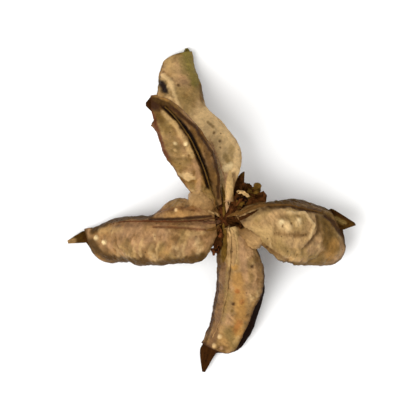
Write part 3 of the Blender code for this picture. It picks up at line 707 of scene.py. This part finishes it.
def inner_face(valve, shares, columns):
    """The husk's inner face at shares of the midline; columns may differ from row to row."""
    midline = Midline(valve)
    columns = np.broadcast_to(columns, (len(shares), np.shape(columns)[-1]))
    middle = columns.shape[1] // 2
    points, normals, across = [], [], []
    for share, row in zip(shares, columns):
        origin, left, up = midline.frame(share)
        along = share / midline.blade
        slopes, distance = [], np.zeros(len(row))
        for half, side in ((valve.left, 1), (valve.right, -1)):
            lift, edge = half_angles(half, along)
            own = np.clip(row * side, 0, None)
            slopes.append(side * (lift + (edge - lift) * own))
            distance += side * own * half_width(valve, half, share, midline.blade)
        slope = slopes[1] + (slopes[0] - slopes[1]) * ease(distance / CREASE / 2 + 0.5)
        step, between = np.diff(distance), (slope[1:] + slope[:-1]) / 2
        out = np.r_[0, np.cumsum(np.cos(between) * step)]
        rise = np.r_[0, np.cumsum(np.sin(between) * step)]
        out, rise = out - out[middle], rise - rise[middle]
        normal = np.outer(-np.sin(slope), left) + np.outer(np.cos(slope), up)
        wave = waves(valve, share, row)[:, None]
        points.append(origin + np.outer(out, left) + np.outer(rise, up) + normal * wave)
        normals.append(normal)
        across.append(distance)
    along = np.broadcast_to((np.array(shares) * midline.length)[:, None], columns.shape)
    return Face(np.array(points), np.array(normals), along, np.array(across), np.array(shares), columns,
                midline.blade)


def outer_face(face):
    """The husk's outer face; the wall is thinner at the margins and toward the beak's point."""
    taper = np.clip((1 - face.shares) / (1 - face.blade), 0, 1)[:, None]
    thick = HUSK_THICK + (HUSK_EDGE_THICK - HUSK_THICK) * face.columns**2
    thick = thick * (HUSK_POINT_SHARE + (1 - HUSK_POINT_SHARE) * taper)
    return face.points - face.normals * thick[..., None]


def sag_to_ground(valve):
    """Lets a valve sag, most at its tip, until its lowest point is a flat spot's depth under the ground."""
    for _ in range(SAG_ROUNDS):
        face = inner_face(valve, np.linspace(0, 1, SAG_GRID[0]), np.linspace(-1, 1, SAG_GRID[1]))
        heights = np.minimum(face.points, outer_face(face))[..., 2].min(1)
        lowest = heights.argmin()
        valve.sag += (heights[lowest] + FLAT_SPOT_DEPTH) / face.shares[lowest]


def shift_to_frame():
    """How far the boll's own plan lies from the frame, from the beaks that bound its box."""
    tips = {}
    for valve in VALVES:
        face = inner_face(valve, [1.0], np.array([-1.0, 0.0, 1.0]))
        tips[valve.name] = np.minimum(face.points, outer_face(face)).min((0, 1))
    return np.array([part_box("husk_west")[0].x / MM - tips["west"][0],
                     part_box("husk_south")[0].y / MM - tips["south"][1], 0])


def stroke_weight(stroke, points):
    """How strongly a stroke acts at points of the plan, from 0 to 1, with a slightly uneven outline."""
    path = np.array(plan(stroke.path))
    flat = points[..., :2]
    if len(path) == 1:
        distance = np.linalg.norm(flat - path[0], axis=-1)
    else:
        distance = np.full(flat.shape[:-1], np.inf)
        for a, b in zip(path[:-1], path[1:]):
            f = np.clip(((flat - a) @ (b - a)) / ((b - a) @ (b - a)), 0, 1)[..., None]
            distance = np.minimum(distance, np.linalg.norm(flat - a - f * (b - a), axis=-1))
    near = distance < stroke.half * STROKE_REACH
    weight = np.zeros(distance.shape)
    uneven = 1 + STROKE_UNEVEN * wander(points[near], STROKE_LUMPS, stroke.half, 2)
    weight[near] = ease(STROKE_EDGE - distance[near] / (stroke.half * uneven))
    return weight


def mix(tint, *layers):
    """Lays colours of the palette over linear tints in turn, each with a weight for each point."""
    for colour, weight in layers:
        tint = tint + (linear(colour) - tint) * np.clip(weight, 0, 1)[..., None]
    return tint


def plain(colour, shape):
    """A grid of one colour, to lay others over."""
    return np.broadcast_to(linear(colour), (*shape, 3))


@dataclass
class Skin:
    """Faces between points, each point with its tint and its place along and across the fibres."""

    points: np.ndarray
    faces: np.ndarray
    tints: np.ndarray
    fibres: np.ndarray


def skin(grid, tint, fibres, closed=False):
    """A surface through a grid of points; closed joins the last column to the first."""
    index = np.arange(grid.shape[0] * grid.shape[1]).reshape(grid.shape[:2])
    if closed:
        index = np.hstack([index, index[:, :1]])
    faces = np.stack([index[:-1, :-1], index[:-1, 1:], index[1:, 1:], index[1:, :-1]], -1)
    return Skin(grid.reshape(-1, 3), faces.reshape(-1, 4), tint.reshape(-1, 3), fibres.reshape(-1, 3))


def sheet(top, under, tint, under_tint, fibres, closed=False):
    """A sheet between two grids of points; closed joins its two long sides, round an axis."""
    upper, lower = skin(top, tint, fibres, closed), skin(under, under_tint, fibres, closed)
    count = len(upper.points)
    index = np.arange(count).reshape(top.shape[:2])
    if closed:
        index = np.hstack([index, index[:, :1]])
    rims = [index[0], index[-1]] if closed else [index[0], index[-1], index[:, 0], index[:, -1]]
    sides = [np.stack([rim[:-1], rim[1:], rim[1:] + count, rim[:-1] + count], -1) for rim in rims]
    return Skin(np.concatenate([upper.points, lower.points]),
                np.concatenate([upper.faces, lower.faces[:, ::-1] + count, *sides]),
                np.concatenate([upper.tints, lower.tints]), np.concatenate([upper.fibres, lower.fibres]))


def make_object(name, skins, material):
    """Makes one piece of the given skins, in the frame's metres and with its faces outward."""
    starts = np.cumsum([0] + [len(s.points) for s in skins])
    points = np.concatenate([s.points for s in skins]) + SHIFT
    points[:, 2] = np.maximum(points[:, 2], 0)
    faces = np.concatenate([s.faces + start for s, start in zip(skins, starts)])
    tints = np.concatenate([s.tints for s in skins])
    lines = np.concatenate([s.fibres for s in skins])
    mesh = bpy.data.meshes.new(name)
    mesh.from_pydata((points * MM).tolist(), [], faces.tolist())
    colour = mesh.attributes.new("tint", "FLOAT_COLOR", "POINT")
    colour.data.foreach_set("color", np.hstack([tints, np.ones((len(tints), 1))]).ravel())
    fibres = mesh.attributes.new("fibres", "FLOAT_VECTOR", "POINT")
    fibres.data.foreach_set("vector", lines.ravel())
    shape = bmesh.new()
    shape.from_mesh(mesh)
    bmesh.ops.remove_doubles(shape, verts=shape.verts, dist=WELD * MM)
    bmesh.ops.recalc_face_normals(shape, faces=shape.faces)
    shape.to_mesh(mesh)
    shape.free()
    mesh.shade_smooth()
    mesh.materials.append(material)
    made = bpy.data.objects.new(name, mesh)
    bpy.context.scene.collection.objects.link(made)
    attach(made, "root")
    return made


def fibre_lines(face, seed):
    """Coordinates across and along the fibres, which run from the midline outward and to the tip."""
    aside = np.abs(face.across)
    return np.stack([face.along - FIBRE_SLANT * aside, aside + FIBRE_SLANT * face.along,
                     np.full(aside.shape, seed)], -1)


def past(share, start):
    """A smooth step from 0 at the start to 1 at the end of a share."""
    return ease((share - start) / (1 - start))


def make_husk(valve, material):
    """The dark woody wall of a valve with its beak."""
    rows, columns = HUSK_GRID
    face = inner_face(valve, np.linspace(0, 1, rows) ** HUSK_CROWDING, np.linspace(-1, 1, columns))
    margin = past(np.abs(face.columns), MARGIN_START)
    beak = ease((face.shares / face.blade - BEAK_TINT[0]) / BEAK_TINT[1])[:, None] * np.ones(columns)
    lines = np.stack([face.across, face.along, np.full(face.across.shape, valve.phase)], -1)

    edge_wave = wander(face.points, HUSK_EDGE_WAVES[0], valve.phase + 1) * HUSK_EDGE_WAVES[1]
    edge_wave = (edge_wave * margin * (1 - beak))[..., None]
    ridges = wander(lines * (1.0, RIDGE_DRAW, 1.0), HUSK_RIDGES[0], valve.phase + 2, 4)
    lumps = wander(face.points, HUSK_LUMPS[0], valve.phase + 3)
    relief = HUSK_RIDGES[1] * ridges + HUSK_LUMPS[1] * lumps
    relief = relief * (1 - HUSK_CALM * beak) * (1 - HUSK_CALM * margin)
    top = face.points + face.normals * edge_wave
    under = outer_face(face) + face.normals * (edge_wave + relief[..., None])

    patches = wander(face.points, HUSK_PATCHES, valve.phase + 4)
    inside = mix(plain(HUSK_INSIDE, patches.shape),
                 (DARK_BROWN, 0.5 + 0.7 * patches),
                 (NEAR_BLACK, 0.75 * margin * (0.7 + 0.5 * patches)),
                 (valve.beak_colour, 0.85 * beak),
                 *((stroke.colour, stroke.strength * stroke_weight(stroke, face.points))
                   for stroke in valve.husk_strokes))
    outside = mix(plain(HUSK_OUTSIDE, patches.shape),
                  (HUSK_GREY, 0.4 + 0.9 * patches),
                  (RED_BROWN, 0.6 * ease(0.2 - 1.6 * lumps)),
                  (DARK_BROWN, 0.7 * margin),
                  (valve.beak_colour, 0.85 * beak))
    wall = sheet(top, under, inside, outside, lines)
    made = make_object("husk_surface_" + valve.name, [wall], material)
    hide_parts("husk_" + valve.name)


def lining_columns(valve, shares, blade, count):
    """Columns of each row of the lining, narrowed to what it covers, with an uneven torn margin."""
    tears, lost, deep = TORN_MARGIN
    even = np.linspace(-1, 1, count)
    rows = []
    for share in shares:
        along = share / blade
        covers = []
        for half, seed in ((valve.right, 1.3), (valve.left, 8.9)):
            torn = rough((share * tears, seed, valve.phase), 4)
            covers.append(through(half.cover, along) * (1 - lost + deep * torn))
        rows.append(np.where(even < 0, even * covers[0], even * covers[1]))
    return np.array(rows)


def crumple(valve, face, margin):
    """Height of the paper's folds, puckers and crinkles over its smooth form, in millimetres."""
    aside = np.abs(face.across)
    fan = np.stack([face.along - PUCKER_SLANT * aside, PUCKER_DRAW * aside,
                    np.sign(face.across) * 2.0 + valve.phase], -1)
    puckers = PUCKER_HEIGHT * wander(fan, PUCKER_SIZE, valve.phase + 5) * (0.4 + 0.8 * margin)
    folds, creases, crinkles = (
        high * (np.abs(wander(face.points, size, valve.phase + 6 + k, octaves)) - level)
        for k, (size, high, level, octaves) in enumerate(PAPER_FOLDS))
    return (ease(aside / FOLDS_START) * (puckers + folds + creases) + crinkles) * (1 - MARGIN_CALM * margin)


def lining_tint(valve, face, height, margin):
    """The paper's colour: patches of hue, painted highlights on its ridges, painted shade in its folds and at
    its base, dark margins, and painted shade on its steep sides.
    """
    warm, green, grey = (wander(face.points, size, valve.phase + seed) for size, seed in PAPER_PATCHES)
    mottle = wander(face.points, 2.4, valve.phase + 13, 4)
    streaks = wander(fibre_lines(face, valve.phase) * (1, 0.12, 1), 1.6, valve.phase + 10)
    tint = mix(plain(valve.paper, height.shape),
               (PINKISH, 0.6 * ease(1.8 * warm + 0.2)),
               (OCHRE, 0.4 * ease(-1.8 * warm - 0.05)),
               (OLIVE_TAN, 0.65 * ease(2.0 * green - 0.05)),
               (MID_BROWN, 0.4 * ease(2.2 * grey - 0.3)),
               # painted highlights on the raised folds and painted shade in the low ones
               (PALE, 0.6 * ease(3.4 * height - 0.3)),
               (MID_BROWN, 0.75 * ease(-3.4 * height - 0.25)))
    # painted shade: the steep sides, which face away from the overhead light, take the rim colour
    steep_shade = ease((STEEP_SHADE_SLOPE - face.normals[..., 2]) / STEEP_SHADE_BLUR)
    return mix(tint * (1 + 0.3 * mottle + 0.2 * streaks)[..., None],
               (valve.rim, np.maximum(margin, steep_shade) * (0.8 + 0.6 * streaks)),
               # painted shade at the base, deep in the middle
               (MID_BROWN, 0.75 * ease(1.1 - face.along / LINING_SHADED_BASE)))


def make_lining(valve, material):
    """The pale papery lining of a valve."""
    rows, count = LINING_GRID
    blade = Midline(valve).blade
    shares = np.linspace(LINING_START * blade, valve.lining_end * blade, rows)
    face = inner_face(valve, shares, lining_columns(valve, shares, blade, count))
    sideways = past(np.abs(np.linspace(-1, 1, count)), MARGIN_START)
    margin = np.maximum(sideways, past(shares / shares[-1], END_MARGIN_START)[:, None])
    height = crumple(valve, face, margin)
    tint = lining_tint(valve, face, height, margin)
    spots = face.points + face.normals * LINING_TOP
    for stroke in valve.strokes:
        weight = stroke_weight(stroke, spots)
        height = height + stroke.rise * weight
        if stroke.colour:
            tint = mix(tint, (stroke.colour, stroke.strength * weight))
    height = LINING_TOP + np.clip(height, *LINING_RELIEF)
    thick = LINING_SHEET + (LINING_RIM - LINING_SHEET) * np.abs(face.columns) ** 3
    top = face.points + face.normals * height[..., None]
    under = face.points + face.normals * (height - thick)[..., None]
    parchment = sheet(top, under, tint, tint * UNDERSIDE_SHADE, fibre_lines(face, valve.phase))
    made = make_object("lining_surface_" + valve.name, [parchment], material)
    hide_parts("lining_" + valve.name)


def make_septum(valve, material):
    """The septum, a thin torn ribbon that stands along the midline and leans to one side."""
    rows, columns = SEPTUM_GRID
    midline = Midline(valve)
    up_share = np.linspace(0, 1, columns)
    half_thick = SEPTUM_FOOT + (SEPTUM_EDGE - SEPTUM_FOOT) * up_share
    top, under, tints, lines = [], [], [], []
    for along in np.linspace(0, 1, rows):
        share = along * SEPTUM_END * midline.blade
        face = inner_face(valve, [share], np.array(MIDLINE_COLUMNS))
        foot, normal = face.points[0, 1], face.normals[0, 1]
        _, left, _ = midline.frame(share)
        torn = SEPTUM_TEARS[1] * rough((share * SEPTUM_TEARS[0], valve.phase, 2.0), 4)
        tall = max(through(valve.fin, along) * (1 + torn), SEPTUM_LOWEST)
        sway, wave = (deep * noise.noise(Vector((share * count, valve.phase, seed)))
                      for (count, deep), seed in ((SEPTUM_SWAY, 0.0), (SEPTUM_WAVES, 5.0)))
        bend = math.radians(through(valve.lean, along) + sway) * (0.3 + 0.7 * up_share)
        step = np.diff(up_share, prepend=0) * tall
        side = np.cumsum(np.sin(bend) * step) + wave * up_share
        rise = np.cumsum(np.cos(bend) * step) + LINING_TOP - SEPTUM_SUNK
        spine = foot + np.outer(side, left) + np.outer(rise, normal)
        across = np.outer(np.cos(bend), left) - np.outer(np.sin(bend), normal)
        top.append(spine + across * half_thick[:, None])
        under.append(spine - across * half_thick[:, None])
        lines.append(np.stack([np.full(columns, share * midline.length), up_share * tall * 0.6,
                               np.full(columns, valve.phase + 3)], -1))
        # mid brown at its foot, passing into its own colour toward its free edge, and darker at its base as
        # painted shade deep in the middle
        tint = mix(plain(MID_BROWN, (columns,)), (valve.septum, 0.45 + 0.6 * up_share),
                   (DARK_BROWN, 0.8 * ease(1 - along / SEPTUM_SHADED_BASE)))
        mottle = SEPTUM_MOTTLE[1] * rough((share * SEPTUM_MOTTLE[0], valve.phase, 7.0), 3)
        tints.append(tint * (1 + mottle))
    tints = np.array(tints)
    ribbon = sheet(np.array(top), np.array(under), tints, tints, np.array(lines))
    make_object("septum_" + valve.name, [ribbon], material)


def surfaces_so_far():
    """The pieces made so far, as a tree for rays, in the frame's millimetres."""
    points, faces = [], []
    for piece in bpy.data.objects:
        if "_surface" in piece.name:
            faces += [[k + len(points) for k in face.vertices] for face in piece.data.polygons]
            points += [vertex.co / MM for vertex in piece.data.vertices]
    return BVHTree.FromPolygons(points, faces)


def lay_down(grid, tree):
    """Lowers a grid of points onto the surfaces under it, smoothed over small steps and gaps."""
    heights = []
    for x, y, _ in grid.reshape(-1, 3) + SHIFT:
        place = tree.ray_cast(Vector((x, y, SKY)), Vector((0, 0, -1)))[0]
        heights.append(max(place.z, BRIDGE_HEIGHT) if place else BRIDGE_HEIGHT)
    heights = np.array(heights).reshape(grid.shape[:2])
    chord = heights[:, :1] + (heights[:, -1:] - heights[:, :1]) * np.linspace(0, 1, grid.shape[1])
    heights = np.maximum(heights, chord)
    for _ in range(LAYING_ROUNDS):
        heights[1:-1] = (heights[:-2] + heights[1:-1] + heights[2:]) / 3
        heights[:, 1:-1] = (heights[:, :-2] + heights[:, 1:-1] + heights[:, 2:]) / 3
    grid[..., 2] = heights + RIBBON_THICK / 2


def ribbon_sheet(ribbon, seed, tree):
    """One torn, crumpled strip of dry tissue."""
    rows, columns = RIBBON_GRID
    shares = np.linspace(0, 1, rows)
    laid = len(ribbon.path[0]) == 2
    bow, roundness, sway = LAID_STRIP if laid else LOOSE_STRIP
    places = plan([place[:2] for place in ribbon.path])
    spots = [(*place, 0 if laid else spot[2]) for place, spot in zip(places, ribbon.path)]
    line = np.array([through(spots, share) for share in shares])
    ahead = np.gradient(line, axis=0)
    ahead /= np.linalg.norm(ahead, axis=1)[:, None]
    level = np.cross((0, 0, 1), ahead)
    level /= np.linalg.norm(level, axis=1)[:, None]
    lean = math.radians(ribbon.tilt) + sway * wander(line, STRIP_SWAY_SIZE, seed)
    side = np.cos(lean)[:, None] * level + np.sin(lean)[:, None] * np.cross(ahead, level)
    normal = np.cross(ahead, side)
    across = np.linspace(-1, 1, columns)
    grid = np.repeat(line[:, None], columns, 1)
    size, deep = STRIP_TEARS
    rims = [1 + deep * ribbon.crumple * wander(line, size, seed + k) for k in (1, 2)]
    rounded = np.clip(1 - (2 * shares - 1) ** roundness, STRIP_NARROWEST, 1)
    half = np.interp(shares, (0, 1), ribbon.halves) * rounded
    reach = np.where(across < 0, rims[0][:, None], rims[1][:, None]) * half[:, None] * across
    grid = grid + side[:, None] * reach[..., None]
    if laid:
        lay_down(grid, tree)
    curl = bow * half[:, None] * (across**2 - 0.4) * (1 + wander(line, STRIP_BOW_SIZE, seed + 3))[:, None]
    folds = STRIP_FOLDS[1] * ribbon.crumple * wander(grid, STRIP_FOLDS[0], seed + 4)
    grid = grid + normal[:, None] * (curl + folds * half[:, None])[..., None]
    tint = plain(ribbon.colour, folds.shape)
    if ribbon.end:
        tint = mix(tint, (ribbon.end, ease(1.4 * shares)[:, None]))
    # painted light on the raised folds and painted shade in the low ones
    tint = tint * (STRIP_SHADE[0] + STRIP_SHADE[1] * folds)[..., None].clip(*STRIP_SHADE_RANGE)
    lines = np.stack([np.broadcast_to(across * half[:, None], folds.shape) * 2.0,
                      np.repeat(shares[:, None], columns, 1) * 6, np.full(folds.shape, seed)], -1)
    depth = normal[:, None] * (RIBBON_THICK / 2 * (1 - 0.6 * across**2))[None, :, None]
    # the underside is darkened as painted shade
    return sheet(grid + depth, grid - depth, tint, tint * 0.7, lines)


def make_shreds(name, ribbons, material):
    """The strips of torn tissue that run together in the middle and show between the valves."""
    tree = surfaces_so_far()
    strips = [ribbon_sheet(ribbon, 3.0 * k + 1, tree) for k, ribbon in enumerate(ribbons)]
    make_object(name, strips, material)


def make_stem(material):
    """The fibrous column, the receptacle and the stem stub with its cut end, round one bent axis."""
    rows, sides = STEM_GRID
    place = np.linspace(0, len(AXIS_PROFILE) - 1, rows)
    downs, radii = (np.interp(place, range(len(AXIS_PROFILE)), values) for values in zip(*AXIS_PROFILE))
    end = downs[-1]
    angle = np.linspace(0, 2 * math.pi, sides, endpoint=False)
    outward = np.stack([np.cos(angle), np.sin(angle), np.zeros(sides)], -1)
    bend = (np.clip(downs - STEM_BEND_START, 0, None) / (end - STEM_BEND_START)) ** STEM_BEND_POWER
    x, y = (AXIS[k] + STEM_BEND[k] * bend for k in (0, 1))
    centre = np.stack([x, y, COLUMN_TOP_Z - downs], -1)
    ridges = np.cos(STEM_RIDGES * angle + STEM_TWIST * downs[:, None])
    ridged = radii[:, None] * (1 + STEM_RIDGE_HEIGHT * ridges)
    grid = centre[:, None] + ridged[..., None] * outward
    bark = wander(grid * BARK_DRAW, BARK_SIZE, 3.3, 4)
    torn = wander(grid, TORN_TOP_SIZE, 6.1)
    top = ease(1 - downs / TORN_TOP_DEPTH)[:, None]
    grid = grid + outward * (BARK_HEIGHT * bark * np.minimum(ridged, 1))[..., None]
    grid[..., 2] += TORN_TOP_HEIGHT * torn * top * np.minimum(ridged, 1)
    lines = np.stack([np.broadcast_to(angle * 2.0, bark.shape), np.repeat(downs[:, None], sides, 1),
                      np.full(bark.shape, 2.0)], -1)
    cut_end = (place > len(AXIS_PROFILE) - 2) * ease((CUT_END_RIM[0] - radii) / CUT_END_RIM[1])
    # dark brown at the column and receptacle, partly its own colour and partly painted shade deep in the
    # middle
    tints = mix(plain(DARK_BROWN, bark.shape),
                (RED_BROWN, top * (0.5 + torn)),
                (STEM_BARK, ease((downs - BARK_START[0]) / BARK_START[1])[:, None]),
                # painted shade in the hollows of the bark
                (NEAR_BLACK, 0.6 * ease(-0.3 - 2 * bark)),
                (PITH, 0.8 * cut_end[:, None]))
    made = make_object("stem_surface", [skin(grid, tints, lines, closed=True)], material)
    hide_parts("stem")


def lobe_shape(angle):
    """How far the calyx reaches past its rim at an angle in degrees, and how far it rises there."""
    reach = rise = 0.0
    for centre, spread, longest, lift in CALYX_LOBES:
        apart = abs((angle - centre + 180) % 360 - 180) / spread
        if apart < 1 and longest * (1 - apart**1.4) > reach:
            reach = longest * (1 - apart**1.4)
            rise = lift * (1 - apart)
    return reach, rise


def make_calyx(material):
    """The dried calyx, a thin ragged cup whose torn lobes are crumpled."""
    rows, sides = CALYX_GRID
    angles = np.linspace(0, 2 * math.pi, sides, endpoint=False)
    reach, rise = np.array([lobe_shape(math.degrees(a)) for a in angles]).T
    round_rim = np.stack([3 * np.cos(angles), 3 * np.sin(angles), np.zeros(sides)], -1)
    tears = wander(round_rim, 0.45, 5.3, 4) * (CALYX_TEAR + CALYX_LOBE_TEAR * reach)
    slow, quick, share = CALYX_WAVES
    ragged = CALYX_RAGGED * (np.cos(slow * angles) + share * np.sin(quick * angles))
    rim = CALYX_RIM[0] + reach + ragged + tears
    profile = np.array(CALYX_PROFILE)
    grid, lines = [], []
    for down in np.linspace(0, 2, rows):
        outward = max(down - 1, 0)
        radius, height = through(profile, min(down, 1))
        fold = CALYX_CRUMPLE * reach * np.sin(5 * outward + 9 * angles)
        radius = radius + (rim - radius) * outward
        height = height + (CALYX_RIM[1] - height + rise + fold) * outward
        x, y = AXIS[0] + radius * np.cos(angles), AXIS[1] + radius * np.sin(angles)
        grid.append(np.stack([x, y, height], -1))
        lines.append(np.stack([angles * 6, radius, np.full(sides, 9.0)], -1))
    grid, lines = np.array(grid), np.array(lines)
    loose = ease(np.linspace(0, 2, rows) - CALYX_LOOSE)[:, None]
    size, high, level = CALYX_FOLDS
    folds = high * (np.abs(wander(grid, size, 4.1)) - level)
    crinkles = CALYX_CRINKLES[1] * wander(grid, CALYX_CRINKLES[0], 7.7)
    crumpled = (folds + crinkles) * loose
    grid[..., 2] += crumpled
    tint = mix(plain(SHRED, crumpled.shape),
               # painted shade in the low folds
               (DARK_BROWN, 0.4 - 2.0 * crumpled),
               (OLIVE_BROWN, 0.7 * ease(1.5 * wander(grid, 2.5, 8.3)) * loose))
    under = grid - (0, 0, CALYX_SHEET)
    cup = sheet(grid, under, tint, mix(tint, (HUSK_OUTSIDE, 0.6)), lines, closed=True)
    made = make_object("calyx_surface", [cup], material)
    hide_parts("calyx")


class Shader:
    """A material in the making: a Principled shader and short ways to add nodes to it."""

    def __init__(self, name, roughness, specular):
        self.material = bpy.data.materials.new(name)
        self.material.use_nodes = True
        self.tree = self.material.node_tree
        self.principled = self.tree.nodes["Principled BSDF"]
        self.principled.inputs["Roughness"].default_value = roughness
        self.principled.inputs["Specular IOR Level"].default_value = specular

    def add(self, kind, settings=(), **inputs):
        """Adds a node; inputs are given by name, with _ for a space, as a value or a socket to link."""
        node = self.tree.nodes.new("ShaderNode" + kind)
        for key, value in dict(settings).items():
            setattr(node, key, value)
        for key, value in inputs.items():
            self.set(node.inputs[key.replace("_", " ")], value)
        return node

    def set(self, socket, value):
        if isinstance(value, bpy.types.NodeSocket):
            self.tree.links.new(value, socket)
        else:
            socket.default_value = value

    def attribute(self, name, output):
        node = self.add("Attribute", {"attribute_name": name})
        return node.outputs[output]

    def noise(self, vector, stretch, detail, roughness):
        """Noise over a vector in millimetres, with lumps 1 / stretch millimetres wide."""
        mapped = self.add("Mapping", Vector=vector, Scale=stretch).outputs["Vector"]
        node = self.add("TexNoise", Vector=mapped, Scale=1.0, Detail=detail, Roughness=roughness)
        return node.outputs["Fac"]

    def between(self, value, low, high, to_low, to_high):
        """Maps value from one range to another, held at its ends."""
        return self.add("MapRange", Value=value, **{
            "From_Min": low, "From_Max": high, "To_Min": to_low, "To_Max": to_high}).outputs["Result"]

    def times(self, colour, factor):
        """Brightens or darkens a colour."""
        node = self.add("VectorMath", {"operation": "SCALE"}, Scale=factor)
        self.tree.links.new(colour, node.inputs[0])
        return node.outputs["Vector"]

    def shaded(self, *layers):
        """The piece's tint, darkened and brightened between two factors by each noise in turn."""
        colour = self.attribute("tint", "Color")
        for value, darkest, brightest in layers:
            colour = self.times(colour, self.between(value, *NOISE_RANGE, darkest, brightest))
        return colour

    def toward(self, colour, other, factor):
        """Mixes a colour toward another one."""
        node = self.add("Mix", {"data_type": "RGBA"})
        self.set(node.inputs[0], factor)
        self.set(node.inputs[6], colour)
        self.set(node.inputs[7], other)
        return node.outputs[2]

    def total(self, *heights):
        """Adds (value, weight) pairs."""
        result = None
        for value, weight in heights:
            node = self.add("Math", {"operation": "MULTIPLY_ADD"})
            self.set(node.inputs[0], value)
            node.inputs[1].default_value = weight
            self.set(node.inputs[2], result if result is not None else 0.0)
            result = node.outputs[0]
        return result

    def finish(self, colour, height, deep):
        """Links the colour, and a bump that is deep millimetres high."""
        self.tree.links.new(colour, self.principled.inputs["Base Color"])
        bump = self.add("Bump", Height=height, Distance=deep * MM, Strength=1.0)
        self.tree.links.new(bump.outputs["Normal"], self.principled.inputs["Normal"])
        return self.material


def in_mm(shader):
    """The object's own coordinates in millimetres."""
    place = shader.add("TexCoord").outputs["Object"]
    return shader.times(place, 1 / MM)


def lining_material():
    """Dry parchment with a waxy sheen: mottling, faint veins, fine crinkles, small dark specks."""
    shader = Shader("lining_paper", roughness=0.45, specular=0.08)
    fibres, place = shader.attribute("fibres", "Vector"), in_mm(shader)
    veins = shader.noise(fibres, (1.5, 0.35, 1.0), 4.0, 0.6)
    mottle = shader.noise(place, (0.45, 0.45, 0.45), 5.0, 0.65)
    blotch = shader.noise(place, (1.3, 1.3, 1.3), 4.0, 0.65)
    grain = shader.noise(place, (6.0, 6.0, 6.0), 3.0, 0.6)
    colour = shader.shaded((mottle, 0.78, 1.22), (blotch, 0.84, 1.16), (veins, 0.9, 1.1), (grain, 0.94, 1.06))
    specks = shader.add("TexVoronoi", Vector=place, Scale=0.36).outputs["Distance"]
    colour = shader.toward(colour, (*linear(DARK_BROWN), 1), shader.between(specks, 0.05, 0.1, 0.6, 0.0))
    shader.set(shader.principled.inputs["Roughness"], shader.between(blotch, *NOISE_RANGE, 0.32, 0.58))
    height = shader.total((veins, 0.5), (blotch, 1.0), (grain, 0.25))
    return shader.finish(colour, height, 0.26)


def husk_material():
    """Dry woody wall: lengthwise wrinkles, pits of glands, worn paler ridges."""
    shader = Shader("husk_wood", roughness=0.7, specular=0.02)
    fibres, place = shader.attribute("fibres", "Vector"), in_mm(shader)
    wrinkles = shader.noise(fibres, (2.2, 0.35, 1.0), 6.0, 0.65)
    grain = shader.noise(place, (3.5, 3.5, 3.5), 5.0, 0.65)
    glands = shader.add("TexVoronoi", Vector=place, Scale=0.8).outputs["Distance"]
    pits = shader.between(glands, 0.08, 0.26, 1.0, 0.0)
    colour = shader.shaded((wrinkles, 0.6, 1.35), (grain, 0.75, 1.2))
    colour = shader.toward(colour, (*linear(NEAR_BLACK), 1), shader.total((pits, 0.6)))
    height = shader.total((wrinkles, 1.0), (grain, 0.5), (pits, -0.35))
    return shader.finish(colour, height, 0.3)


def fibrous_material(name, roughness):
    """Torn, fibrous dry tissue, for the column, stem, calyx and shreds."""
    shader = Shader(name, roughness=roughness, specular=0.03)
    fibres, place = shader.attribute("fibres", "Vector"), in_mm(shader)
    strands = shader.noise(fibres, (3.0, 0.5, 1.0), 6.0, 0.7)
    grain = shader.noise(place, (4.0, 4.0, 4.0), 5.0, 0.65)
    colour = shader.shaded((strands, 0.6, 1.4), (grain, 0.75, 1.25))
    return shader.finish(colour, shader.total((strands, 1.0), (grain, 0.6)), 0.3)


def make_floor():
    """The white paper under the boll."""
    bpy.ops.mesh.primitive_plane_add(size=FLOOR_SIZE, location=(0, 0, 0))
    floor = bpy.context.object
    floor.name = "floor"
    material = bpy.data.materials.new("floor_paper")
    material.use_nodes = True
    shader = material.node_tree.nodes["Principled BSDF"]
    shader.inputs["Base Color"].default_value = (*FLOOR_COLOUR, 1)
    shader.inputs["Roughness"].default_value = FLOOR_ROUGHNESS
    floor.data.materials.append(material)


def make_camera():
    """Straight down, from far enough that the valves keep their outlines."""
    data = bpy.data.cameras.new("camera")
    data.sensor_width = SENSOR
    data.lens = SENSOR * (CAMERA_HEIGHT - VIEW_LEVEL) / VIEW_WIDTH
    data.clip_end = CAMERA_REACH
    camera = bpy.data.objects.new("camera", data)
    camera.location = (0, 0, CAMERA_HEIGHT)
    bpy.context.scene.collection.objects.link(camera)
    bpy.context.scene.camera = camera


def make_lights():
    """A soft bright room and one large soft window at the left."""
    world = bpy.data.worlds.new("room")
    world.use_nodes = True
    background = world.node_tree.nodes["Background"]
    background.inputs["Color"].default_value = ROOM_COLOUR
    background.inputs["Strength"].default_value = ROOM_LIGHT
    bpy.context.scene.world = world
    for name, place, size, power in LAMPS:
        light = bpy.data.lights.new(name, "AREA")
        light.size = size
        light.energy = power
        made = bpy.data.objects.new(name, light)
        made.location = place
        made.rotation_euler = (-Vector(place)).to_track_quat("-Z", "Y").to_euler()
        bpy.context.scene.collection.objects.link(made)


for resting in VALVES:
    if resting.rests:
        sag_to_ground(resting)
SHIFT = shift_to_frame()

bpy.context.scene.view_settings.view_transform = "Standard"
make_floor()
make_camera()
make_lights()
paper, wood = lining_material(), husk_material()
for valve in VALVES:
    make_husk(valve, wood)
    make_lining(valve, paper)
    make_septum(valve, paper)
tissue = fibrous_material("torn_tissue", 0.7)
make_stem(fibrous_material("stem_bark", 0.8))
make_calyx(tissue)
make_shreds("torn_tissue", SHREDS, tissue)
make_shreds("torn_paper", PAPER_SHREDS, paper)
